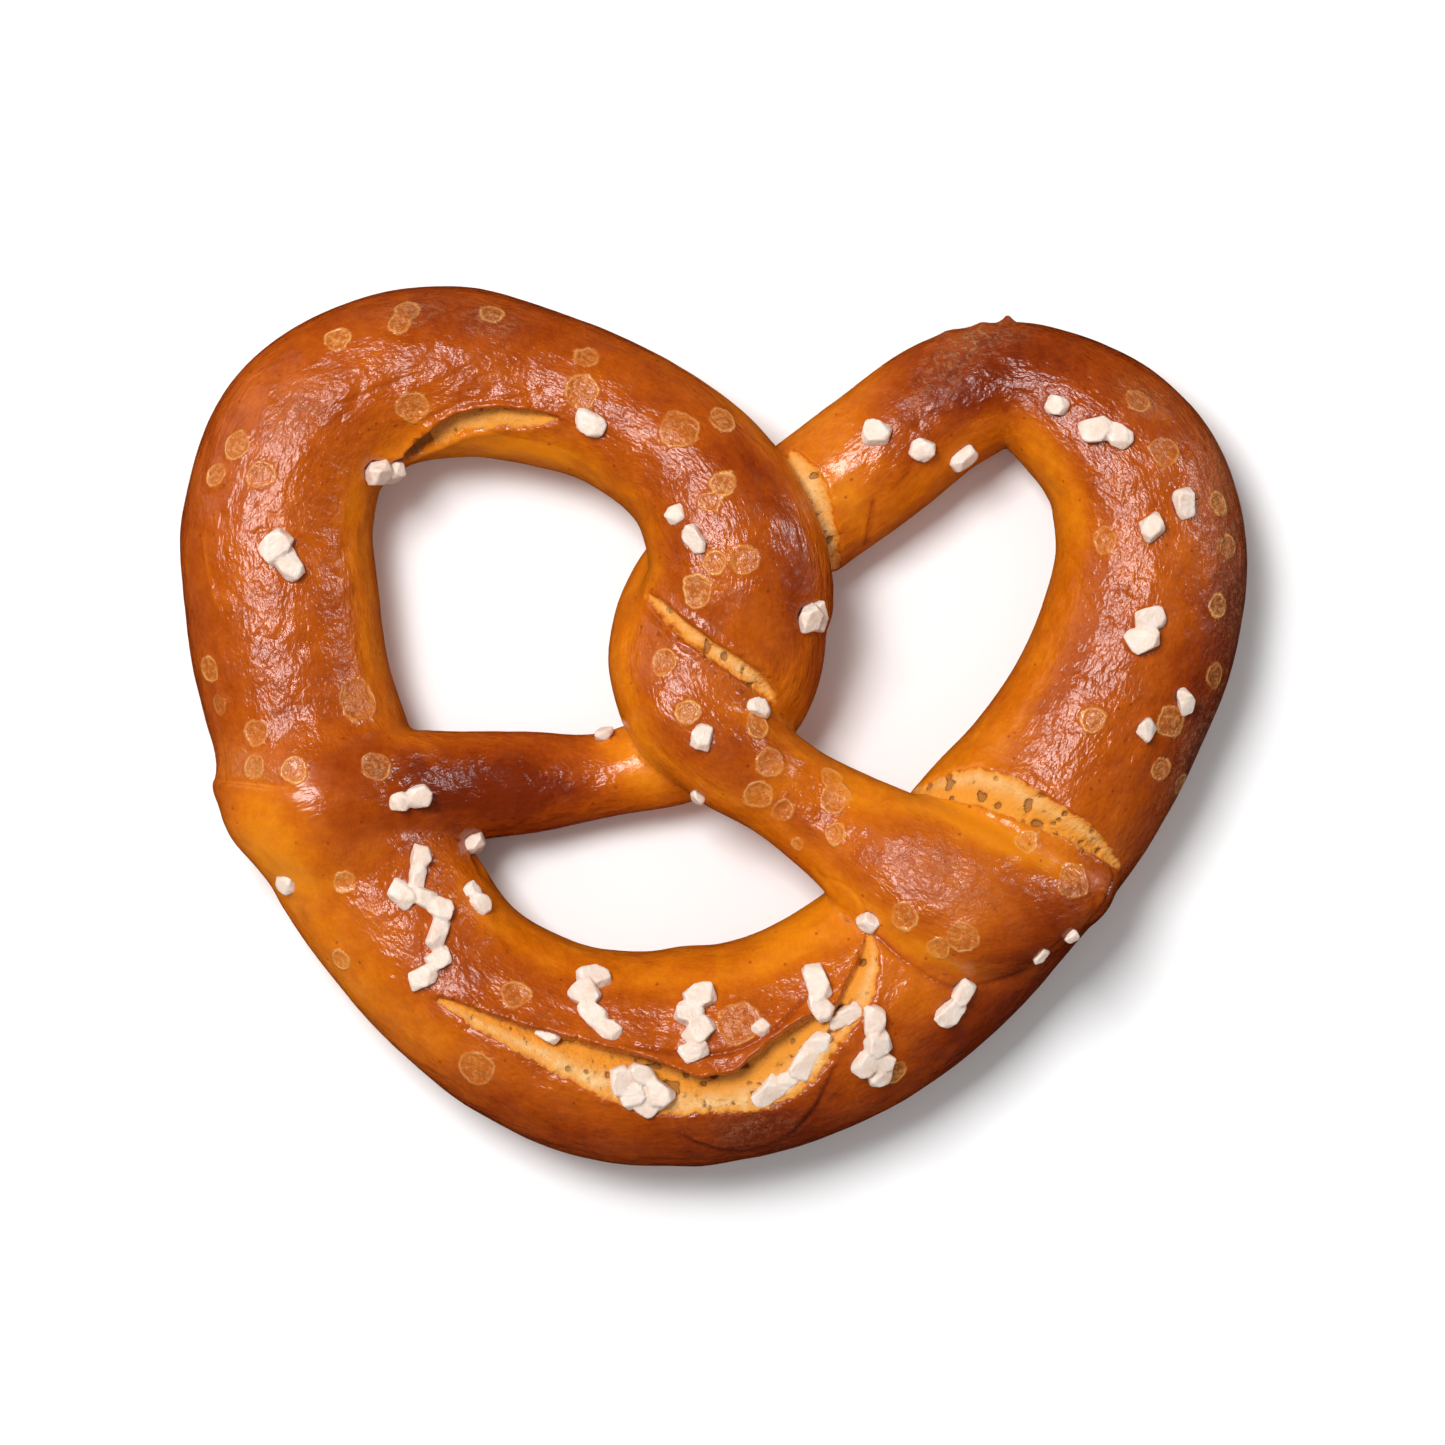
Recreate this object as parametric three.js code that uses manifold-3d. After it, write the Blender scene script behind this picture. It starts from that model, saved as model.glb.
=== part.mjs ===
// A soft pretzel: one rope of dough, thrown into two loops with a full twist between them, baked as
// a single piece, with grains and clumps of coarse salt pressed into its crust.
//
// Units are millimetres and +Z is up. The pretzel lies on the XY plane, as it left the baking tray.
// The origin is on that plane, under the middle of the outline. The thick belly is towards -Y and
// the two loops are towards +Y.
import * as THREE from "three";
import { ParametricGeometry } from "three/addons/geometries/ParametricGeometry.js";
import { mergeVertices } from "three/addons/utils/BufferGeometryUtils.js";
import Module from "manifold-3d";

const wasm = await Module();
wasm.setup();

// ---------------------------------------------------------------------------------------------
// Driving dimensions
// ---------------------------------------------------------------------------------------------

const WIDTH = 150; // across both loops; the rope below is laid out at this width
const LAID_OUT_WIDTH = 149.6;
const SCALE = WIDTH / LAID_OUT_WIDTH;

const ROPE_SIDES = 20; // facets round the rope
const STEPS_PER_STATION = 1.6; // rings between two stations of the rope
const CAP_RINGS = 4; // rings in the rounded end of a strand
const TRAY_BLOCK = { size: 400, depth: 60 }; // cuts the base flat where the dough lay on the tray

const SALT_GAP = 0.3; // clearance between a crystal and the pit that it sits in
const SALT_SUNK = 0.3; // share of a crystal's thickness that lies below the crust
const SALT_THICKNESS = 0.78; // a crystal's thickness over its breadth
const SALT_SKEW = 0.15; // how far a crystal's corners are shifted, as a share of its size

// The rope, from the end of the left arm to the end of the right one. Each station gives its
// middle [x, y, z], its half-width a and its half-height b.
const ROPE = [
  // left arm: its end lies over the left loop, and the rest runs to the twist
  [-62.6, -11.4, 15.0, 5.2, 5.2],
  [-55.5, -10.8, 16.6, 8.0, 6.6],
  [-46.5, -9.4, 14.6, 8.8, 6.8],
  [-36.0, -8.5, 9.2, 7.8, 6.8],
  [-25.5, -7.9, 6.2, 7.1, 6.4],
  [-15.5, -6.8, 5.8, 6.0, 6.0],
  [-6.0, -4.2, 6.2, 7.0, 6.6],
  // under the right arm, up the right side of the twist, and over the right loop's strand
  [1.6, 0.8, 8.0, 8.4, 8.0],
  [5.9, 8.0, 11.4, 9.0, 9.6],
  [3.8, 16.5, 14.4, 12.8, 10.2],
  [2.6, 26.0, 15.0, 12.4, 10.2],
  [-2.8, 35.7, 12.8, 10.8, 10.4],
  // left loop
  [-12.8, 43.2, 10.2, 10.4, 10.6],
  [-24.0, 47.5, 9.2, 10.9, 10.6],
  [-36.2, 49.9, 9.2, 12.0, 10.8],
  [-48.4, 47.8, 9.4, 12.3, 11.0],
  [-57.9, 40.4, 9.6, 12.9, 11.3],
  [-61.5, 29.0, 9.8, 13.4, 11.5],
  [-60.9, 17.5, 9.8, 13.7, 11.5],
  [-59.1, 6.0, 9.8, 13.5, 11.5],
  [-55.6, -5.0, 9.8, 13.4, 11.4],
  [-51.3, -15.3, 9.8, 13.2, 11.4],
  // belly
  [-44.9, -25.2, 9.9, 13.3, 11.6],
  [-37.2, -34.8, 10.2, 12.8, 12.0],
  [-27.0, -42.0, 10.7, 13.7, 12.6],
  [-15.5, -46.1, 11.1, 14.8, 13.0],
  [-3.0, -46.3, 11.2, 15.2, 13.2],
  [9.0, -43.9, 11.1, 15.1, 13.0],
  [20.4, -38.4, 10.8, 15.2, 12.7],
  [31.0, -29.8, 10.6, 15.2, 12.5],
  // right loop
  [40.0, -18.7, 10.5, 15.7, 12.4],
  [48.5, -8.5, 10.4, 15.0, 12.2],
  [55.0, 2.3, 10.3, 14.3, 12.1],
  [59.6, 13.3, 10.2, 14.0, 12.0],
  [61.3, 25.0, 9.9, 13.4, 11.6],
  [58.6, 35.8, 9.5, 12.5, 11.2],
  [51.8, 43.4, 8.8, 10.9, 10.3],
  [42.3, 48.2, 7.6, 8.9, 9.0],
  [32.6, 45.4, 7.4, 9.5, 8.7],
  [23.3, 38.5, 7.4, 9.8, 8.7],
  [14.3, 31.9, 7.0, 9.7, 8.3],
  // under the left loop's strand and down the left side of the twist
  [5.2, 25.4, 6.6, 9.2, 7.6],
  [-2.4, 19.4, 7.4, 9.2, 8.2],
  [-5.4, 11.2, 11.2, 9.4, 9.0],
  [-3.5, 3.2, 14.4, 9.6, 9.0],
  [2.2, -3.4, 15.2, 8.3, 8.2],
  // right arm: over the left one, across the gap, and spread over the belly at its end
  [9.8, -8.8, 13.4, 7.2, 7.2],
  [17.7, -14.0, 13.8, 8.2, 7.2],
  [26.0, -19.5, 18.2, 10.2, 7.2],
  [35.0, -23.6, 20.6, 10.9, 6.8],
  [43.6, -24.0, 19.2, 8.8, 6.4],
  [50.2, -22.6, 15.8, 5.4, 5.4],
];

// The rope crosses itself, so it is built from four strands that share a section where they meet.
const STRANDS = { left_arm: [0, 9], left_loop: [9, 26], right_loop: [26, 41], right_arm: [41, 51] };

// Splits in the crust: grooves [x, y, z, half-width, depth] along the surface of the dough.
const SPLITS = {
  belly: [
    [-36.5, -37.6, 22.2, 0.8, 0.8],
    [-31.0, -40.2, 23.3, 1.6, 1.7],
    [-22.0, -43.6, 24.1, 1.9, 2.0],
    [-12.0, -48.2, 24.2, 2.6, 2.1],
    [0.0, -50.2, 24.0, 2.8, 2.1],
    [9.0, -48.6, 23.8, 3.4, 2.2],
    [15.5, -43.4, 23.6, 3.0, 1.9],
    [19.6, -37.6, 23.4, 1.8, 1.4],
    [21.4, -31.5, 23.4, 1.0, 0.9],
  ],
  right_shoulder: [
    [28.5, -8.6, 16.6, 1.2, 1.2],
    [36.0, -9.2, 22.0, 2.4, 2.0],
    [44.5, -12.2, 22.4, 2.4, 2.0],
    [51.0, -15.6, 20.8, 1.6, 1.6],
    [55.5, -18.6, 17.0, 0.8, 0.8],
  ],
};

// Coarse salt, as clumps of one or more crystals [x, y, length, breadth, heading in degrees].
const SALT = [
  // left loop
  [[-61.0, 25.0, 5.0, 4.2, 60], [-59.0, 21.9, 4.8, 3.6, -50]],
  [[-47.6, 35.9, 4.2, 3.8, 0], [-45.7, 36.0, 4.2, 3.4, 10]],
  [[-17.0, 42.2, 4.9, 2.9, -30]],
  [[-5.5, 29.2, 3.1, 2.9, 20]],
  [[-2.8, 25.9, 4.7, 2.7, -62]],
  [[12.8, 15.3, 4.1, 3.8, 15], [14.2, 15.6, 4.4, 3.0, -75]],
  // twist and arms
  [[5.8, 2.5, 4.2, 2.4, -10]],
  [[-1.8, -1.5, 4.1, 3.2, 70]],
  [[-15.6, -1.4, 3.4, 2.0, 45]],
  [[-2.2, -9.6, 2.8, 2.0, -60]],
  [[-43.8, -10.4, 3.2, 2.5, 0], [-41.4, -9.7, 3.6, 3.2, 20]],
  [[-34.2, -15.8, 4.6, 3.2, 60]],
  [[21.6, -26.8, 3.7, 3.0, -45]],
  // left shoulder and belly
  [[-59.6, -22.0, 3.4, 3.1, 25]],
  [
    [-41.2, -18.0, 3.4, 3.1, 70],
    [-41.6, -20.8, 4.0, 2.5, 80],
    [-43.8, -23.0, 4.3, 3.1, -40],
    [-40.6, -23.6, 3.9, 2.8, -25],
    [-37.9, -25.2, 3.4, 3.3, 60],
    [-38.3, -28.6, 5.4, 2.7, 82],
    [-38.0, -32.2, 3.9, 2.8, 25],
    [-40.4, -34.6, 4.6, 3.1, 20],
  ],
  [[-34.0, -22.9, 3.4, 2.5, -10], [-32.8, -24.9, 3.8, 2.9, -45]],
  [
    [-17.1, -34.9, 5.2, 3.4, 25],
    [-18.4, -37.0, 4.4, 3.7, -50],
    [-17.0, -39.9, 4.9, 3.1, -45],
    [-14.6, -41.9, 3.9, 2.9, -10],
  ],
  [[-23.0, -42.6, 4.2, 2.3, -28]],
  [
    [-12.6, -48.9, 4.2, 2.8, -60],
    [-9.6, -48.1, 4.2, 2.6, -28],
    [-10.9, -51.0, 3.8, 3.2, 30],
    [-7.4, -50.8, 4.4, 3.4, -50],
    [-9.0, -52.6, 3.4, 2.8, 10],
  ],
  [
    [-2.0, -37.3, 4.8, 3.5, 30],
    [-3.5, -39.7, 4.4, 3.3, -20],
    [-2.2, -41.9, 4.8, 3.6, 60],
    [-3.0, -44.8, 3.9, 2.9, 35],
  ],
  [[6.3, -41.8, 2.8, 2.4, 50]],
  [[14.4, -35.6, 5.6, 3.5, -70], [14.9, -38.8, 4.4, 3.1, -40]],
  [[18.9, -39.6, 4.0, 2.9, 40], [17.0, -41.1, 2.8, 2.3, 20]],
  [
    [14.3, -43.8, 4.2, 2.9, 45],
    [12.1, -46.9, 5.2, 3.0, 66],
    [10.2, -49.3, 3.6, 2.6, 25],
    [7.4, -51.3, 5.5, 3.2, 35],
  ],
  [
    [22.0, -40.5, 4.4, 3.0, 85],
    [22.3, -43.7, 3.9, 3.2, 20],
    [20.7, -46.4, 4.3, 3.0, 60],
    [23.2, -46.2, 3.6, 2.8, -40],
    [22.7, -48.2, 3.6, 2.9, 10],
  ],
  [[34.3, -36.2, 4.2, 3.0, 45], [32.2, -39.5, 5.2, 3.0, 65]],
  [[45.0, -31.6, 2.9, 2.0, 55]],
  [[49.3, -29.0, 2.5, 1.8, 40]],
  // right loop
  [[22.7, 40.9, 4.3, 3.5, -20]],
  [[28.8, 38.7, 3.4, 3.1, 70]],
  [[34.9, 37.6, 5.2, 2.8, 45]],
  [[47.9, 44.7, 3.8, 2.8, -20]],
  [[52.8, 41.2, 4.3, 4.0, 15], [55.9, 40.3, 4.4, 3.2, -38]],
  [[64.6, 31.0, 4.4, 3.1, -75]],
  [[60.7, 27.6, 4.1, 3.7, 25]],
  [[60.0, 15.0, 4.8, 3.5, 20], [58.9, 11.7, 5.0, 3.9, 12]],
  [[65.0, 3.5, 4.8, 2.6, -60]],
  [[59.7, -0.5, 3.4, 3.1, 40]],
];

// ---------------------------------------------------------------------------------------------
// Solids
// ---------------------------------------------------------------------------------------------

/** A closed three.js geometry as a manifold-3d solid. */
function solidFrom(geometry) {
  const bare = new THREE.BufferGeometry().setAttribute("position", geometry.getAttribute("position"));
  bare.setIndex(geometry.index);
  const merged = mergeVertices(bare, 1e-4);
  return new wasm.Manifold(
    new wasm.Mesh({
      numProp: 3,
      vertProperties: new Float32Array(merged.getAttribute("position").array),
      triVerts: new Uint32Array(merged.index.array),
    }),
  );
}

/** A manifold-3d solid as a three.js geometry. */
function geometryFrom(solid) {
  const { vertProperties, triVerts } = solid.getMesh();
  const geometry = new THREE.BufferGeometry();
  geometry.setAttribute("position", new THREE.BufferAttribute(vertProperties, 3));
  geometry.setIndex(new THREE.BufferAttribute(triVerts, 1));
  geometry.computeVertexNormals();
  return geometry;
}

/** The union of several solids. */
function joined(solids) {
  return solids.reduce((whole, solid) => whole.add(solid));
}

/** Smooth curves through rows [x, y, z, a, b]: one for the middle line and one for the section. */
function curvesThrough(rows) {
  const middle = rows.map(([x, y, z]) => new THREE.Vector3(x, y, z));
  const section = rows.map(([, , , a, b]) => new THREE.Vector3(a, b, 0));
  return [middle, section].map((points) => new THREE.CatmullRomCurve3(points, false, "catmullrom", 0.5));
}

const ropeCurves = curvesThrough(ROPE);

/** A tube of oval section with rounded ends, along `curves` from parameter `from` to `to`. */
function tubeSolid([middle, section], from, to, rings, sides) {
  const total = rings + 2 * CAP_RINGS;
  const centre = new THREE.Vector3();
  const side = new THREE.Vector3();
  const up = new THREE.Vector3();
  const half = new THREE.Vector3();

  const surface = (u, v, target) => {
    const ring = v * total - CAP_RINGS;
    const past = Math.max(-ring, ring - rings, 0) / CAP_RINGS; // 0 on the tube, 1 at the cap's pole
    const t = from + (to - from) * THREE.MathUtils.clamp(ring / rings, 0, 1);
    const tangent = middle.getTangent(t);
    side.set(tangent.y, -tangent.x, 0).normalize();
    up.crossVectors(side, tangent).normalize();
    section.getPoint(t, half);

    const reach = Math.sin((past * Math.PI) / 2) * Math.min(half.x, half.y) * Math.sign(ring);
    const shrink = past >= 1 ? 0 : Math.cos((past * Math.PI) / 2);
    const angle = -2 * Math.PI * (u % 1); // turns this way so that the faces point out
    middle.getPoint(t, centre).addScaledVector(tangent, reach);
    target
      .copy(centre)
      .addScaledVector(side, half.x * shrink * Math.cos(angle))
      .addScaledVector(up, half.y * shrink * Math.sin(angle));
  };
  return solidFrom(new ParametricGeometry(surface, sides, total));
}

/** The dough: four strands of the rope joined, with a flat base and open splits. */
function doughSolid() {
  const last = ROPE.length - 1;
  const strands = Object.values(STRANDS).map(([start, end]) => {
    const rings = Math.round((end - start) * STEPS_PER_STATION);
    return tubeSolid(ropeCurves, start / last, end / last, rings, ROPE_SIDES);
  });
  const block = new THREE.BoxGeometry(TRAY_BLOCK.size, TRAY_BLOCK.size, TRAY_BLOCK.depth);
  block.translate(0, 0, -TRAY_BLOCK.depth / 2);
  const grooves = Object.values(SPLITS).map((rows) =>
    tubeSolid(curvesThrough(rows), 0, 1, 2 * (rows.length - 1), 8),
  );
  return joined(strands).subtract(solidFrom(block)).subtract(joined(grooves));
}

/** A skewed twenty-sided crystal of unit length, breadth and thickness. */
function crystalGeometry(seed) {
  const crystal = new THREE.IcosahedronGeometry(0.56, 0);
  const position = crystal.getAttribute("position");
  const point = new THREE.Vector3();
  for (let i = 0; i < position.count; i += 1) {
    point.fromBufferAttribute(position, i);
    const phase = point.x * 7.1 + point.y * 11.3 + point.z * 5.7 + seed * 1.9;
    point.multiplyScalar(1 + SALT_SKEW * Math.sin(phase));
    position.setXYZ(i, point.x, point.y, point.z);
  }
  return crystal;
}

/** Where a crystal sits on the dough: its place, and its thickness turned along the crust's normal. */
function seatOn(dough, [x, y, length, breadth, heading]) {
  const down = new THREE.Raycaster(new THREE.Vector3(x, y, 100), new THREE.Vector3(0, 0, -1));
  const [hit] = down.intersectObject(dough);
  if (!hit) throw new Error(`no dough under the salt at ${x}, ${y}`);
  const thickness = breadth * SALT_THICKNESS;
  const normal = hit.face.normal;
  const tilt = new THREE.Quaternion().setFromUnitVectors(new THREE.Vector3(0, 0, 1), normal);
  const turn = new THREE.Quaternion().setFromAxisAngle(
    new THREE.Vector3(0, 0, 1),
    THREE.MathUtils.degToRad(heading),
  );
  const place = hit.point.clone().addScaledVector(normal, thickness * (0.5 - SALT_SUNK));
  return { place, turn: tilt.multiply(turn), size: new THREE.Vector3(length, breadth, thickness) };
}

/** A crystal on its seat, grown by `margin` on every side. */
function crystalSolid({ place, turn, size }, seed, margin) {
  const grown = size.clone().addScalar(2 * margin);
  const matrix = new THREE.Matrix4().compose(place, turn, grown);
  return solidFrom(crystalGeometry(seed).applyMatrix4(matrix));
}

// ---------------------------------------------------------------------------------------------
// The pretzel
// ---------------------------------------------------------------------------------------------

const crust = new THREE.MeshStandardMaterial({ color: 0xa64f14, roughness: 0.34, metalness: 0 });
const salt = new THREE.MeshStandardMaterial({ color: 0xf0e2d6, roughness: 0.5, metalness: 0 });

const unsalted = doughSolid();
const bareDough = new THREE.Mesh(geometryFrom(unsalted), crust);

const seats = SALT.map((clump) => clump.map((crystal) => seatOn(bareDough, crystal)));
const clumps = seats.map((clump, c) => joined(clump.map((seat, i) => crystalSolid(seat, c + i, 0))));
const pits = seats.map((clump, c) => joined(clump.map((seat, i) => crystalSolid(seat, c + i, SALT_GAP))));

const pretzel = new THREE.Group();
pretzel.scale.setScalar(SCALE);

const dough = new THREE.Mesh(geometryFrom(unsalted.subtract(joined(pits))), crust);
dough.name = "pretzel_dough";
pretzel.add(dough);

clumps.forEach((solid, c) => {
  const kind = SALT[c].length > 1 ? "clump" : "grain";
  const mesh = new THREE.Mesh(geometryFrom(solid), salt);
  mesh.name = `salt_${kind}_${String(c + 1).padStart(2, "0")}`;
  pretzel.add(mesh);
});

// The origin goes under the middle of the outline.
const middle = new THREE.Box3().setFromObject(pretzel).getCenter(new THREE.Vector3());
pretzel.position.set(-middle.x, -middle.y, 0);

export default pretzel;
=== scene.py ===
"""The looks of a soft pretzel: one rope of dough with a glossy lye crust, and coarse salt on it.

The dough is one closed skin over a field of distances. A section is carried along the rope's middle
line, the four strands of the rope are joined softly where they were pressed together, and the base
is flat where the dough lay on the tray. Splits, pits, blisters and wrinkles then move the skin along
its own normals. Each grain or clump of salt is a piece of its own, shaped on the crust and then
fitted to the box of its CAD node.

Lengths here are millimetres on the rope's layout. Layout turns them into the frame's metres.
"""

from __future__ import annotations

import logging
from dataclasses import dataclass, field
from enum import Enum
from itertools import product

import bpy
import numpy as np
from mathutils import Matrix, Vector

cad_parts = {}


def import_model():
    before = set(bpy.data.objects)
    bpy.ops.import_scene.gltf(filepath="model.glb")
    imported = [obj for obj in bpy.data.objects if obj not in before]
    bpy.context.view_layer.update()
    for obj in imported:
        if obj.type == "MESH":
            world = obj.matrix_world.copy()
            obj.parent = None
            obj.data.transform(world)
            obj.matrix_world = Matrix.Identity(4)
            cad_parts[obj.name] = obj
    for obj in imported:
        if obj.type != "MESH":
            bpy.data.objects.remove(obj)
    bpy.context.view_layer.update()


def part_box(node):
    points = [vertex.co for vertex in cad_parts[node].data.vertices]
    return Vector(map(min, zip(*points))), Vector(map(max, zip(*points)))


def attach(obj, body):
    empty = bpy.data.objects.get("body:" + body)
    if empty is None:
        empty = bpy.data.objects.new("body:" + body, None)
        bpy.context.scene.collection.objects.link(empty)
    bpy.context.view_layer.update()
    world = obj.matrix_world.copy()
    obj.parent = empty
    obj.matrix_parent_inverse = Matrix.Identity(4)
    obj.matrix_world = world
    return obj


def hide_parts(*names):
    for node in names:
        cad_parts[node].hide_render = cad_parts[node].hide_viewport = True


LOG = logging.getLogger("soft_pretzel")
DOUGH_NODE = "pretzel_dough"

# The noise lattice holds a power of two of values, picked by a mix of three large primes.
LATTICE_SIZE = 4096
LATTICE_PRIMES = (73856093, 19349663, 83492791)
# Points compared with a middle line at once, so that the table of distances stays small.
BATCH = 40000
# The stations where one strand of the rope goes over into the next.
LEFT_JOINT, BELLY_JOINT, RIGHT_JOINT = 9, 26, 41
# A grid corner that changes sign to undo a checkered square gets this distance, in mm.
FLIPPED = 1e-4


class Slot(Enum):
    """The material slots of the dough and the salt."""

    CRUST = "baked_crust"
    SALT = "coarse_salt"


# ---------------------------------------------------------------------------------------------
# Small helpers for whole arrays
# ---------------------------------------------------------------------------------------------


def ease(low: float, high: float, value: np.ndarray) -> np.ndarray:
    """A step from 0 at `low` to 1 at `high` along the curve 3t^2 - 2t^3."""
    t = np.clip((value - low) / (high - low), 0.0, 1.0)
    return t * t * (3.0 - 2.0 * t)


def bump(value: np.ndarray, centre: float, width: float) -> np.ndarray:
    """A bell of height 1 round `centre`: e to the minus square of the offset over `width`."""
    return np.exp(-(((value - centre) / width) ** 2))


def lattice_noise(points: np.ndarray, scale: float | tuple, seed: int) -> np.ndarray:
    """Smooth noise from -1 to 1 at points in space.

    A cubic lattice holds one random value at each corner, and the eight corners round a point are
    blended with the curve 6t^5 - 15t^4 + 10t^3 along each axis.

    Args:
        points: Points as rows, in mm.
        scale: Size of a lattice cell in mm, one number or one for each axis.
        seed: Seed of the random values.

    Returns:
        One value for each point.
    """
    table = np.random.default_rng(seed).uniform(-1.0, 1.0, LATTICE_SIZE)
    grid = points / np.asarray(scale, float)
    cell = np.floor(grid).astype(np.int64)
    part = grid - cell
    fade = part**3 * (part * (part * 6.0 - 15.0) + 10.0)
    total = np.zeros(len(points))
    for corner in product((0, 1), repeat=3):
        at = cell + np.array(corner)
        key = np.bitwise_xor.reduce(at * np.array(LATTICE_PRIMES), axis=1) & (LATTICE_SIZE - 1)
        weight = np.where(np.array(corner, bool), fade, 1.0 - fade).prod(axis=1)
        total += weight * table[key]
    return total


def layered_noise(points: np.ndarray, scale: float, seed: int, layers: int = 3) -> np.ndarray:
    """Lattice noise added up in layers, each of half the size and half the height of the last."""
    heights = 0.5 ** np.arange(layers)
    parts = [h * lattice_noise(points, scale * h, seed + i) for i, h in enumerate(heights)]
    return np.sum(parts, axis=0) / heights.sum()


# ---------------------------------------------------------------------------------------------
# Meshes as arrays
# ---------------------------------------------------------------------------------------------


@dataclass
class Skin:
    """A closed surface of triangles: vertices in mm, and rows of three vertex numbers."""

    points: np.ndarray
    faces: np.ndarray

    def normals(self) -> np.ndarray:
        """Unit normals at the vertices: the area-weighted sum of the faces round each."""
        a, b, c = (self.points[self.faces[:, i]] for i in range(3))
        face = np.cross(b - a, c - a)
        total = np.stack(
            [
                np.bincount(self.faces.ravel(), np.repeat(face[:, axis], 3), len(self.points))
                for axis in range(3)
            ],
            axis=1,
        )
        return total / np.maximum(np.linalg.norm(total, axis=1, keepdims=True), 1e-12)

    def edges(self) -> tuple[np.ndarray, np.ndarray]:
        """Every edge once as a pair of vertices, and for each face the numbers of its three edges."""
        pairs = np.sort(self.faces[:, [0, 1, 1, 2, 2, 0]].reshape(-1, 2), axis=1)
        keys = pairs[:, 0].astype(np.int64) * len(self.points) + pairs[:, 1]
        found, number = np.unique(keys, return_inverse=True)
        edge = np.stack([found // len(self.points), found % len(self.points)], axis=1)
        return edge, number.reshape(-1, 3)

    def relaxed(self, share: float) -> np.ndarray:
        """The vertices moved by `share` of the way to the mean of their neighbours."""
        edge, _ = self.edges()
        both = np.concatenate([edge, edge[:, ::-1]])
        count = np.bincount(both[:, 0], minlength=len(self.points))
        mean = np.stack(
            [
                np.bincount(both[:, 0], self.points[both[:, 1], axis], len(self.points))
                for axis in range(3)
            ],
            axis=1,
        )
        mean /= count[:, None]
        return self.points + share * (mean - self.points)

    def split_long_edges(self, longest: np.ndarray) -> "Skin":
        """Halves each edge that is longer than its limit.

        A face with one, two or three halved edges becomes two, three or four faces, so the surface
        stays closed.

        Args:
            longest: The limit at each vertex in mm; an edge takes the mean of its two ends.

        Returns:
            The finer surface. The old vertices keep their numbers.
        """
        edge, of_face = self.edges()
        length = np.linalg.norm(self.points[edge[:, 0]] - self.points[edge[:, 1]], axis=1)
        long = length > longest[edge].mean(axis=1)
        middle = np.full(len(edge), -1)
        middle[long] = len(self.points) + np.arange(long.sum())
        points = np.concatenate([self.points, self.points[edge[long]].mean(axis=1)])
        corners = np.concatenate([self.faces, middle[of_face]], axis=1)
        pattern = (long[of_face] * np.array([1, 2, 4])).sum(axis=1)
        # Corners 0 1 2 are the face's own, and 3 4 5 the middles of its edges 01, 12 and 20.
        cuts = {
            0: [(0, 1, 2)],
            1: [(0, 3, 2), (3, 1, 2)],
            2: [(0, 1, 4), (0, 4, 2)],
            3: [(3, 1, 4), (0, 3, 4), (0, 4, 2)],
            4: [(0, 1, 5), (5, 1, 2)],
            5: [(0, 3, 5), (3, 1, 2), (3, 2, 5)],
            6: [(4, 2, 5), (0, 1, 4), (0, 4, 5)],
            7: [(0, 3, 5), (3, 1, 4), (5, 4, 2), (3, 4, 5)],
        }
        faces = [corners[pattern == kind][:, cut] for kind, rows in cuts.items() for cut in rows]
        return Skin(points, np.concatenate(faces))


def without_checkers(values: np.ndarray, rounds: int = 12) -> np.ndarray:
    """A sampled field with no square of the grid whose signs alternate round it.

    Such a square would make an edge that four faces share. Wherever its two diagonals have
    opposite signs, the corner nearest to zero just changes sign, and the grid is read again.

    Args:
        values: The field on a grid, negative inside.
        rounds: The most times that the grid is read.

    Returns:
        A changed copy of the field.
    """
    values = values.copy()
    for _ in range(rounds):
        flips = []
        for axis in range(3):
            first, second = (np.eye(3, dtype=int)[(axis + i) % 3] for i in (1, 2))
            steps = (0 * first, first, first + second, second)
            size = np.array(values.shape) - first - second
            corners = [values[tuple(slice(a, a + n) for a, n in zip(move, size))] for move in steps]
            signs = [corner < 0 for corner in corners]
            checkered = (signs[0] == signs[2]) & (signs[1] == signs[3]) & (signs[0] != signs[1])
            places = np.argwhere(checkered)
            nearest = np.abs([corner[checkered] for corner in corners]).argmin(axis=0)
            flips.append(places + np.array(steps)[nearest])
        flips = np.unique(np.concatenate(flips), axis=0)
        if not len(flips):
            break
        place = tuple(flips.T)
        values[place] = np.where(values[place] < 0, FLIPPED, -FLIPPED)
    return values


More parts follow.
